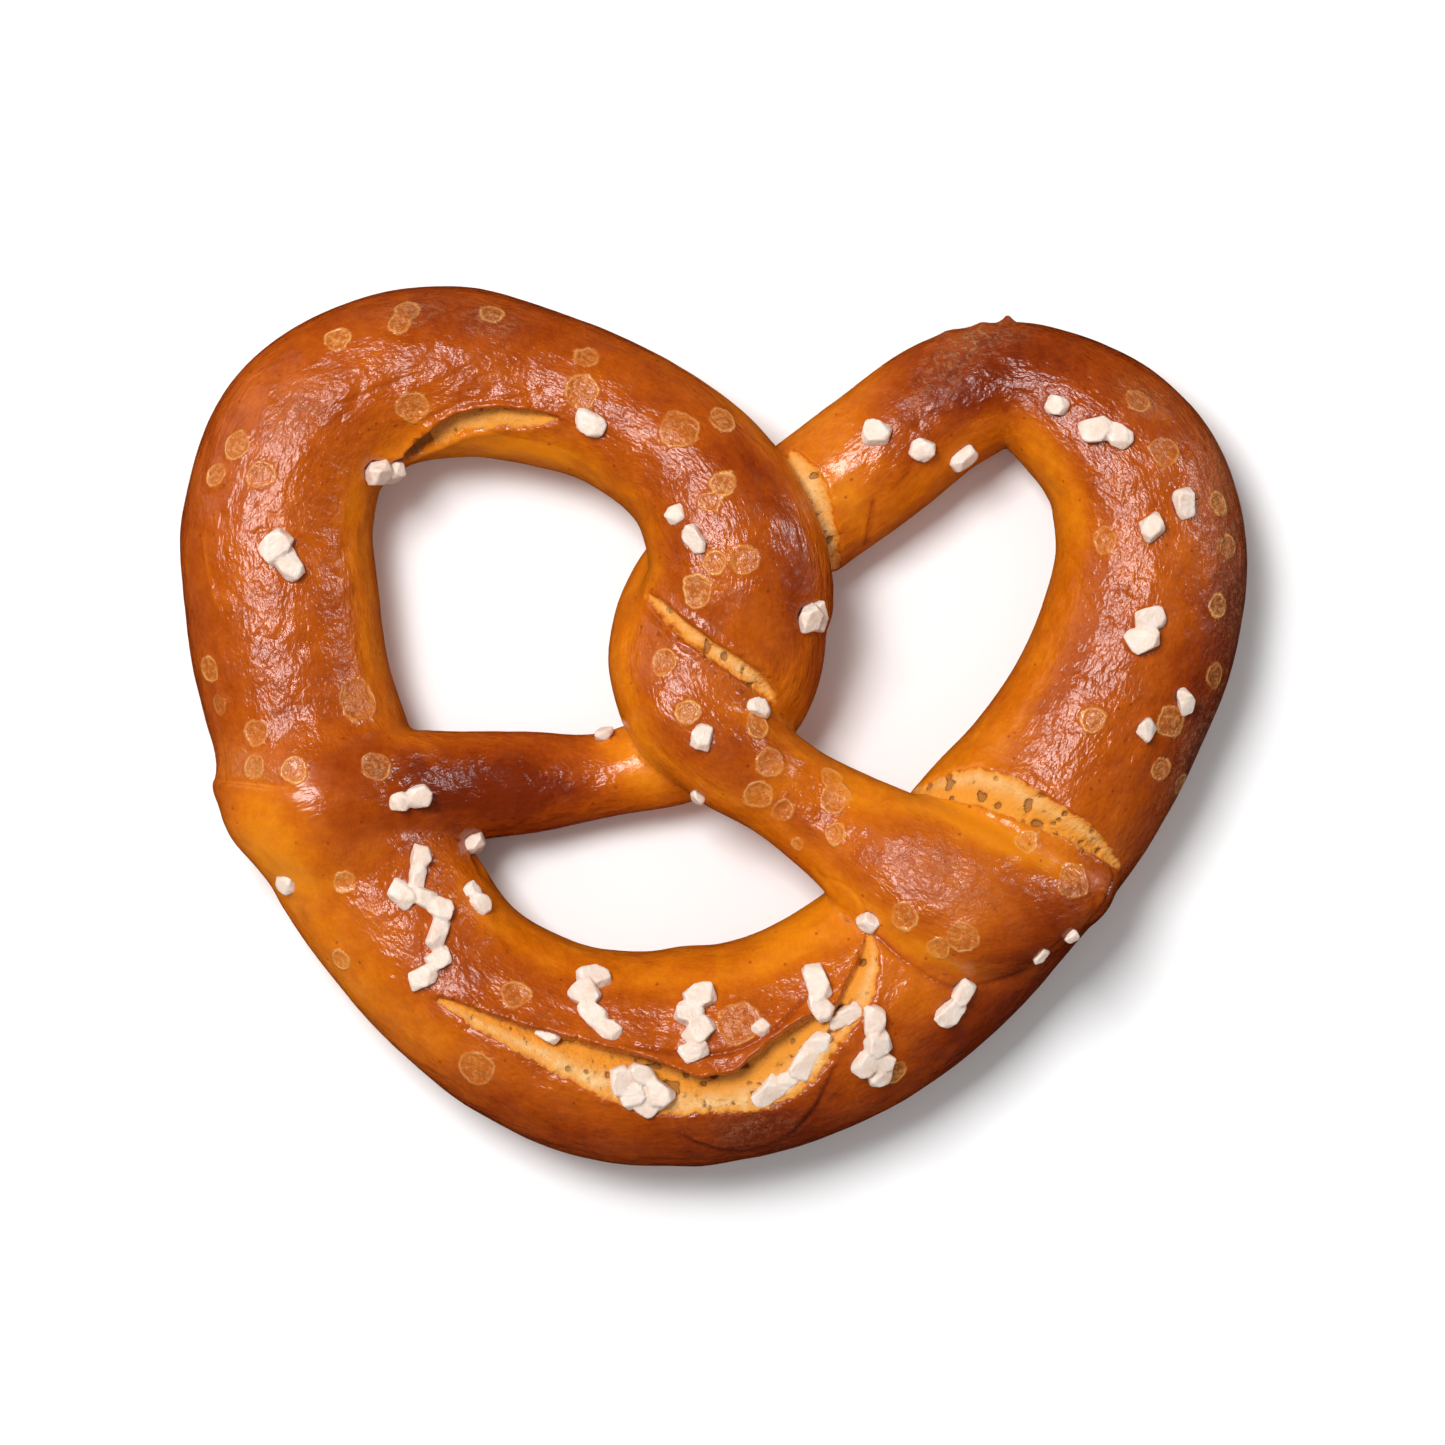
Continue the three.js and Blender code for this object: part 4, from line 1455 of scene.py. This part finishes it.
# Dull rough patches where the skin dried or blistered finely.
SCUFFS = (
    Tint(34.0, 52.5, 8.5, 3.0, 52.0, 0.65), Tint(38.5, 54.5, 5.0, 2.0, 15.0, 0.6),
    Tint(60.0, 45.8, 4.0, 2.2, -25.0, 0.6), Tint(71.5, 26.0, 16.0, 3.0, 98.0, 0.75),
    Tint(68.0, -3.0, 12.0, 3.0, 65.0, 0.55), Tint(-42.0, 57.8, 5.0, 1.8, 5.0, 0.55),
    Tint(-31.0, 56.6, 4.0, 2.2, -10.0, 0.55), Tint(-64.5, -5.6, 3.6, 2.2, -20.0, 0.5),
    Tint(-58.0, 44.0, 5.0, 3.0, 40.0, 0.35), Tint(5.5, -55.5, 6.0, 2.6, 10.0, 0.45),
    Tint(32.0, -20.5, 8.0, 5.0, -35.0, 0.35),
)

CLUMPS = tuple(
    Clump(number + 1, rows)
    for number, rows in enumerate(
        (
            # left loop
            ((-61.0, 25.0, 5.0, 4.2, 60), (-59.0, 21.9, 4.8, 3.6, -50)),
            ((-47.6, 35.9, 4.2, 3.8, 0), (-45.7, 36.0, 4.2, 3.4, 10)), ((-17.0, 42.2, 4.9, 2.9, -30),),
            ((-5.5, 29.2, 3.1, 2.9, 20),), ((-2.8, 25.9, 4.7, 2.7, -62),),
            ((12.8, 15.3, 4.1, 3.8, 15), (14.2, 15.6, 4.4, 3.0, -75)),
            # twist and arms
            ((5.8, 2.5, 4.2, 2.4, -10),), ((-1.8, -1.5, 4.1, 3.2, 70),), ((-15.6, -1.4, 3.4, 2.0, 45),),
            ((-2.2, -9.6, 2.8, 2.0, -60),), ((-43.8, -10.4, 3.2, 2.5, 0), (-41.4, -9.7, 3.6, 3.2, 20)),
            ((-34.2, -15.8, 4.6, 3.2, 60),), ((21.6, -26.8, 3.7, 3.0, -45),),
            # left shoulder and belly
            ((-59.6, -22.0, 3.4, 3.1, 25),),
            (
                (-41.2, -18.0, 3.4, 3.1, 70), (-41.6, -20.8, 4.0, 2.5, 80),
                (-43.8, -23.0, 4.3, 3.1, -40), (-40.6, -23.6, 3.9, 2.8, -25),
                (-37.9, -25.2, 3.4, 3.3, 60), (-38.3, -28.6, 5.4, 2.7, 82),
                (-38.0, -32.2, 3.9, 2.8, 25), (-40.4, -34.6, 4.6, 3.1, 20),
            ),
            ((-34.0, -22.9, 3.4, 2.5, -10), (-32.8, -24.9, 3.8, 2.9, -45)),
            (
                (-17.1, -34.9, 5.2, 3.4, 25), (-18.4, -37.0, 4.4, 3.7, -50),
                (-17.0, -39.9, 4.9, 3.1, -45), (-14.6, -41.9, 3.9, 2.9, -10),
            ),
            ((-23.0, -42.6, 4.2, 2.3, -28),),
            (
                (-12.6, -48.9, 4.2, 2.8, -60), (-9.6, -48.1, 4.2, 2.6, -28),
                (-10.9, -51.0, 3.8, 3.2, 30), (-7.4, -50.8, 4.4, 3.4, -50), (-9.0, -52.6, 3.4, 2.8, 10),
            ),
            (
                (-2.0, -37.3, 4.8, 3.5, 30), (-3.5, -39.7, 4.4, 3.3, -20), (-2.2, -41.9, 4.8, 3.6, 60),
                (-3.0, -44.8, 3.9, 2.9, 35),
            ),
            ((6.3, -41.8, 2.8, 2.4, 50),), ((14.4, -35.6, 5.6, 3.5, -70), (14.9, -38.8, 4.4, 3.1, -40)),
            ((18.9, -39.6, 4.0, 2.9, 40), (17.0, -41.1, 2.8, 2.3, 20)),
            (
                (14.3, -43.8, 4.2, 2.9, 45), (12.1, -46.9, 5.2, 3.0, 66), (10.2, -49.3, 3.6, 2.6, 25),
                (7.4, -51.3, 5.5, 3.2, 35),
            ),
            (
                (22.0, -40.5, 4.4, 3.0, 85), (22.3, -43.7, 3.9, 3.2, 20), (20.7, -46.4, 4.3, 3.0, 60),
                (23.2, -46.2, 3.6, 2.8, -40), (22.7, -48.2, 3.6, 2.9, 10),
            ),
            ((34.3, -36.2, 4.2, 3.0, 45), (32.2, -39.5, 5.2, 3.0, 65)), ((45.0, -31.6, 2.9, 2.0, 55),),
            ((49.3, -29.0, 2.5, 1.8, 40),),
            # right loop
            ((22.7, 40.9, 4.3, 3.5, -20),), ((28.8, 38.7, 3.4, 3.1, 70),),
            ((34.9, 37.6, 5.2, 2.8, 45),), ((47.9, 44.7, 3.8, 2.8, -20),),
            ((52.8, 41.2, 4.3, 4.0, 15), (55.9, 40.3, 4.4, 3.2, -38)), ((64.6, 31.0, 4.4, 3.1, -75),),
            ((60.7, 27.6, 4.1, 3.7, 25),), ((60.0, 15.0, 4.8, 3.5, 20), (58.9, 11.7, 5.0, 3.9, 12)),
            ((65.0, 3.5, 4.8, 2.6, -60),), ((59.7, -0.5, 3.4, 3.1, 40),),
        )
    )
)


@dataclass
class BakedDough:
    """The dough: the field's skin, made finer where the crust has small features."""

    layout: Layout
    dough: DoughField
    seats: list[list[Seat]]
    splits: tuple[Split, ...] = SPLITS
    creases: tuple[Crease, ...] = CREASES
    blisters: tuple[Blister, ...] = BLISTERS
    nibs: tuple[Nib, ...] = NIBS
    tints: tuple[Tint, ...] = TINTS
    scuffs: tuple[Tint, ...] = SCUFFS
    step: float = 0.9
    fine_step: float = 0.45
    pit_share: float = 0.8
    other_length: float = 12.0
    open_reaches: tuple[tuple[float, float], ...] = ((14.0, 0.2), (28.0, 0.4), (45.0, 0.4))
    open_floor: float = 3.0
    pit_swell: float = 0.16
    closed_in: float = 0.8
    least_brown: float = 0.22
    open_brown: float = 0.41
    flank_brown: float = 0.14
    cloud_brown: float = 0.09
    waves: float = 0.22
    wrinkles: tuple = ((0.13, (3.6, 2.1, 1.0), 21), (0.09, (2.0, 1.3, 1.0), 22))
    finish: CrustFinish = field(default_factory=CrustFinish)
    tears: list[Line] = field(init=False)
    folds: list[Line] = field(init=False)
    blister_tops: np.ndarray = field(init=False)
    skin: Skin = field(init=False)

    def rope_place(self, points: np.ndarray) -> np.ndarray:
        """Each point's place on the rope: mm along it, mm round it from the top, and how sure it is.

        The way round is the angle of the offset over the section's half-sizes, measured from the
        top so that its seam runs along the base, times the mean half-size. The third number is 1
        in the open and falls to 0 where two lengths of the rope meet.
        """
        places = np.linspace(0.0, len(self.dough.rope.stations) - 1.0, 900)
        steps = np.linalg.norm(np.diff(self.dough.rope.at(places)[:, :3], axis=0), axis=1)
        run = np.concatenate([[0.0], np.cumsum(steps)])
        depth, along, around = (np.empty((4, len(points))) for _ in range(3))
        for index, strand in enumerate(self.dough.strands()):
            place, _, half, offset = self.dough.rope.sections(points, strand)
            angle = np.arctan2(offset[:, 0] / half[:, 0], offset[:, 1] / half[:, 1])
            depth[index] = np.linalg.norm(offset / half, axis=1)
            along[index] = np.interp(place, places, run) + offset[:, 2]
            around[index] = angle * half[:, :2].mean(axis=1)
        pick = depth.argmin(axis=0), np.arange(len(points))
        elsewhere = np.abs(along - along[pick]) > self.other_length
        gap = np.where(elsewhere, depth - depth[pick], 1.0).min(axis=0)
        return np.column_stack([along[pick], around[pick], ease(0.02, 0.16, gap)])

    def openness(self, points: np.ndarray, normals: np.ndarray) -> np.ndarray:
        """How freely the oven's air reached the skin.

        The distance from the dough is read at a few reaches straight out from the skin, each with
        its weight: it grows as fast as the reach where nothing is in the way, and more slowly
        inside the loops.
        """
        total = np.zeros(len(points))
        for reach, weight in self.open_reaches:
            out = points + normals * reach
            out[:, 2] = np.maximum(out[:, 2], self.open_floor)
            total += weight * np.clip(self.dough.rope_distance(out) / reach, 0.0, 1.0)
        return total

    def pits(self, points: np.ndarray) -> np.ndarray:
        """How far the skin is pushed down under each crystal of salt, and pushed up round it.

        A crystal's footprint is an oval in its own plane. Inside it the skin goes down behind an
        eased wall, and round it stands a low bell.
        """
        drop = np.zeros(len(points))
        for seat in (seat for clump in self.seats for seat in clump):
            near = np.linalg.norm(points - seat.middle, axis=1) < 2.4 * seat.half.max()
            local = seat.local(points[near])
            oval = np.linalg.norm(local[:, :2] / (seat.half[:2] * self.pit_share), axis=1)
            inside = 1.0 - ease(0.6, 1.15, oval)
            swell = self.pit_swell * bump(oval, 1.5, 0.4)
            drop[near] = np.maximum(drop[near], inside * 0.5 * seat.half[2] - (1.0 - inside) * swell)
        return drop

    def wanted_edges(self, points: np.ndarray) -> np.ndarray:
        """The longest edge allowed at each vertex: fine at splits, folds, salt and blisters."""
        longest = np.full(len(points), 2.0 * self.step)
        normals = self.skin.normals()
        for line in self.tears + self.folds:
            near = line.near(points, 4.0)
            away, width, _ = line.across(points[near], normals[near])
            longest[near[np.abs(away) < width + 1.1]] = self.fine_step
        centres = [seat.middle for clump in self.seats for seat in clump]
        reaches = [seat.half.max() + 0.5 for clump in self.seats for seat in clump]
        centres += list(self.blister_tops)
        reaches += [blister.radius * 1.25 + 0.4 for blister in self.blisters]
        centres += [np.array(nib.place) for nib in self.nibs]
        reaches += [1.6 * nib.radius for nib in self.nibs]
        for centre, reach in zip(centres, reaches):
            longest[np.linalg.norm(points - centre, axis=1) < reach] = self.fine_step * 1.25
        return longest

    def refined(self) -> Skin:
        """The bare skin with its long edges halved twice wherever a small feature wants it."""
        skin = self.skin
        for _ in range(2):
            finer = skin.split_long_edges(self.wanted_edges(skin.points))
            fresh = np.arange(len(skin.points), len(finer.points))
            finer.points[fresh] = self.dough.projected(finer.points[fresh], 1)
            self.skin = skin = finer
        return skin

    def marks(self, points: np.ndarray, normals: np.ndarray) -> tuple[np.ndarray, dict]:
        """Everything that tears, folds, blisters and salt do to the skin.

        Args:
            points: Points of the bare skin, in mm.
            normals: Unit normals there.

        Returns:
            The height to add in mm, and the layers that the crust's finish reads.
        """
        height = np.zeros(len(points))
        layers = {name: np.zeros(len(points)) for name in ("cream", "pore", "paleness", "fold_shade")}
        layers["tear"] = np.full(len(points), 3.0)
        layers["blister"] = np.full(len(points), 2.0)
        for split, line in zip(self.splits, self.tears):
            near = line.near(points, split.reach)
            made = split.cut(line, points[near], normals[near])
            height[near] += made["height"]
            closer = made["tear"] < layers["tear"][near]
            for name in ("tear", "cream", "pore"):
                layers[name][near] = np.where(closer, made[name], layers[name][near])
        closed = ease(0.0, 0.6, layers["tear"])
        for crease, line in zip(self.creases, self.folds):
            near = line.near(points, 3.0 * crease.roll_width)
            lift, shade = crease.cut(line, points[near], normals[near])
            height[near] += lift * closed[near]
            # Painted shade: each groove is painted darker through the browning layer.
            layers["fold_shade"][near] += shade * closed[near]
        paleness = np.random.default_rng(17).uniform(0.45, 1.0, len(self.blisters))
        for blister, centre, pale in zip(self.blisters, self.blister_tops, paleness):
            near = np.flatnonzero(np.linalg.norm(points - centre, axis=1) < 1.5 * blister.radius + 2.5)
            lift, edge = blister.mark(centre, points[near])
            height[near] += lift * closed[near]
            closer = edge < layers["blister"][near]
            layers["blister"][near] = np.where(closer, edge, layers["blister"][near])
            layers["paleness"][near] = np.where(closer, pale, layers["paleness"][near])
        for nib in self.nibs:
            height += nib.lift(points)
        return height - self.pits(points), layers

    def browning(self, points: np.ndarray, normals: np.ndarray) -> np.ndarray:
        """How brown the crust is.

        It grows with how open the skin lies, and a little more on open flanks than on top. Broad
        clouds of noise are added and the tints are taken away.
        """
        free = (self.openness(points, normals) - self.closed_in) / (1.0 - self.closed_in)
        free = np.clip(free, 0.0, 1.0)
        flank = 1.0 - ease(0.1, 0.55, normals[:, 2])
        brown = self.least_brown + self.open_brown * free + self.flank_brown * free * flank
        brown += self.cloud_brown * layered_noise(points, 15.0, 31)
        return brown - sum(tint.share(points) for tint in self.tints)

    def build(self) -> bpy.types.Object:
        """Builds, dresses and places the dough."""
        self.tears = [Line.laid(split.path, self.dough) for split in self.splits]
        self.folds = [Line.laid(crease.path, self.dough) for crease in self.creases]
        self.blister_tops = self.dough.tops(np.array([(b.x, b.y) for b in self.blisters]))
        self.skin = self.dough.skin(self.step)
        skin = self.refined()
        points, normals = skin.points, skin.normals()
        rope = self.rope_place(points)

        height, layers = self.marks(points, normals)
        top_side = 0.35 + 0.65 * ease(-0.5, 0.3, normals[:, 2])
        height += top_side * self.waves * layered_noise(points, 9.0, 11)
        flat = rope * (1.0, 1.0, 0.0)
        up = rope[:, 2] * ease(0.1, 0.6, normals[:, 2])
        for amount, cells, seed in self.wrinkles:
            height += up * amount * lattice_noise(flat, cells, seed)
        height *= ease(0.0, 1.2, points[:, 2])

        # The browning layer also carries the grooves' painted shade.
        layers["browning"] = self.browning(points, normals) + layers.pop("fold_shade")
        layers["scuffed"] = np.clip(sum(scuff.share(points) for scuff in self.scuffs), 0.0, 1.0)
        # Painted shade: the crumb in the hollow takes the dark pore colour.
        hollow = HOLLOW_SHADE.share(points)
        layers["pore"] = np.maximum(layers["pore"], 1.2 * hollow)
        moved = points + normals * height[:, None]
        thing = link_mesh("baked_dough", self.layout.metres(moved), skin.faces, layers)
        track = thing.data.attributes.new("rope", "FLOAT_VECTOR", "POINT")
        track.data.foreach_set("vector", rope.astype(np.float32).ravel())
        thing.data.materials.append(self.finish.material())
        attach(thing, "root")
        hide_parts(DOUGH_NODE)
        LOG.info("baked_dough: %d triangles", len(skin.faces))
        return thing


@dataclass
class Salting:
    """All the salt: one piece for each grain or clump."""

    layout: Layout
    seats: list[list[Seat]]
    clumps: tuple[Clump, ...] = CLUMPS
    step: float = 0.3
    finish: SaltFinish = field(default_factory=SaltFinish)

    def build(self) -> list[bpy.types.Object]:
        """Builds each clump and fits it, on each axis, to its CAD node's box."""
        material = self.finish.material()
        pieces = []
        for clump, seats in zip(self.clumps, self.seats):
            skin = clump.skin(seats, self.step)
            points = self.layout.metres(skin.points)
            near, far = (np.array(corner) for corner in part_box(clump.node()))
            low, high = points.min(axis=0), points.max(axis=0)
            middle, goal = (low + high) / 2.0, (near + far) / 2.0
            fitted = (points - middle) * (far - near) / (high - low) + goal
            piece = link_mesh(f"salt_{clump.number:02d}", fitted, skin.faces, {})
            piece.data.materials.append(material)
            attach(piece, "root")
            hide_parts(clump.node())
            LOG.info(
                "%s: %d triangles, moved %.2f mm, sized by %s",
                piece.name,
                len(skin.faces),
                1e3 * np.linalg.norm(goal - middle),
                np.round((far - near) / (high - low), 2),
            )
            pieces.append(piece)
        return pieces


# ---------------------------------------------------------------------------------------------
# The studio
# ---------------------------------------------------------------------------------------------


@dataclass(frozen=True)
class Softbox:
    """A square area light: where it is, what it faces, its side in metres and its power in watts.

    A light may shape the shading, the highlights or both, as a flag or a gobo does on a set.
    """

    name: str
    place: tuple[float, float, float]
    side: float
    power: float
    shades: bool = True
    shines: bool = True
    target: tuple[float, float, float] = (0.0, 0.0, 0.01)

    def build(self) -> None:
        """Adds the light, which cameras don't see."""
        light = bpy.data.lights.new(self.name, "AREA")
        light.shape = "SQUARE"
        light.size = self.side
        light.energy = self.power
        lamp = bpy.data.objects.new(self.name, light)
        lamp.location = self.place
        lamp.visible_camera = False
        lamp.visible_diffuse = self.shades
        lamp.visible_glossy = self.shines
        facing = lamp.location - type(lamp.location)(self.target)
        lamp.rotation_euler = facing.to_track_quat("Z", "Y").to_euler()
        bpy.context.scene.collection.objects.link(lamp)


@dataclass(frozen=True)
class Studio:
    """A white floor, soft light from the upper left, and a camera looking straight down."""

    softboxes: tuple[Softbox, ...] = (
        Softbox("key_softbox", (-0.30, 0.30, 0.90), 0.36, 9.4, shines=False),
        Softbox("top_softbox", (-0.34, 0.16, 0.93), 0.36, 6.8, shades=False),
        Softbox("side_softbox", (0.73, 0.32, 0.43), 0.13, 1.8, shades=False),
        Softbox("left_softbox", (-0.85, 0.50, 0.28), 0.60, 1.1, shades=False),
        Softbox("right_softbox", (0.95, 0.15, 0.25), 0.40, 0.35, shades=False),
    )
    sky: float = 0.42
    floor_side: float = 4.0
    lens: float = 135.0
    camera_centre: tuple[float, float] = (0.00139, 0.00039)
    camera_height: float = 0.7744

    def build(self) -> None:
        """Builds the floor, the lights and the camera."""
        half = self.floor_side / 2.0
        mesh = bpy.data.meshes.new("floor")
        corners = [(-half, -half, 0.0), (half, -half, 0.0), (half, half, 0.0), (-half, half, 0.0)]
        mesh.from_pydata(corners, [], [(0, 1, 2, 3)])
        mesh.materials.append(PaperFinish().material())
        floor = bpy.data.objects.new("floor", mesh)
        bpy.context.scene.collection.objects.link(floor)
        floor.location.z = -0.0001
        floor.visible_glossy = False

        world = bpy.data.worlds.new("studio")
        world.use_nodes = True
        background = world.node_tree.nodes["Background"]
        background.inputs["Color"].default_value = (1.0, 1.0, 1.0, 1.0)
        background.inputs["Strength"].default_value = self.sky
        bpy.context.scene.world = world
        world.cycles_visibility.glossy = False
        for softbox in self.softboxes:
            softbox.build()

        lens = bpy.data.cameras.new("camera")
        lens.lens = self.lens
        lens.sensor_width = 36.0
        lens.clip_start, lens.clip_end = 0.01, 20.0
        camera = bpy.data.objects.new("camera", lens)
        camera.location = (*self.camera_centre, self.camera_height)
        bpy.context.scene.collection.objects.link(camera)
        bpy.context.scene.camera = camera
        view = bpy.context.scene.view_settings
        view.view_transform = "Standard"
        view.look = "None"


def main() -> None:
    """Loads the frame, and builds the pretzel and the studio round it."""
    logging.basicConfig(level=logging.INFO, format="%(name)s %(message)s")
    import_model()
    layout = Layout()
    dough = DoughField(ROPE)
    seats = [clump.seats(dough) for clump in CLUMPS]
    BakedDough(layout, dough, seats).build()
    Salting(layout, seats).build()
    Studio().build()


if __name__ == "__main__":
    main()
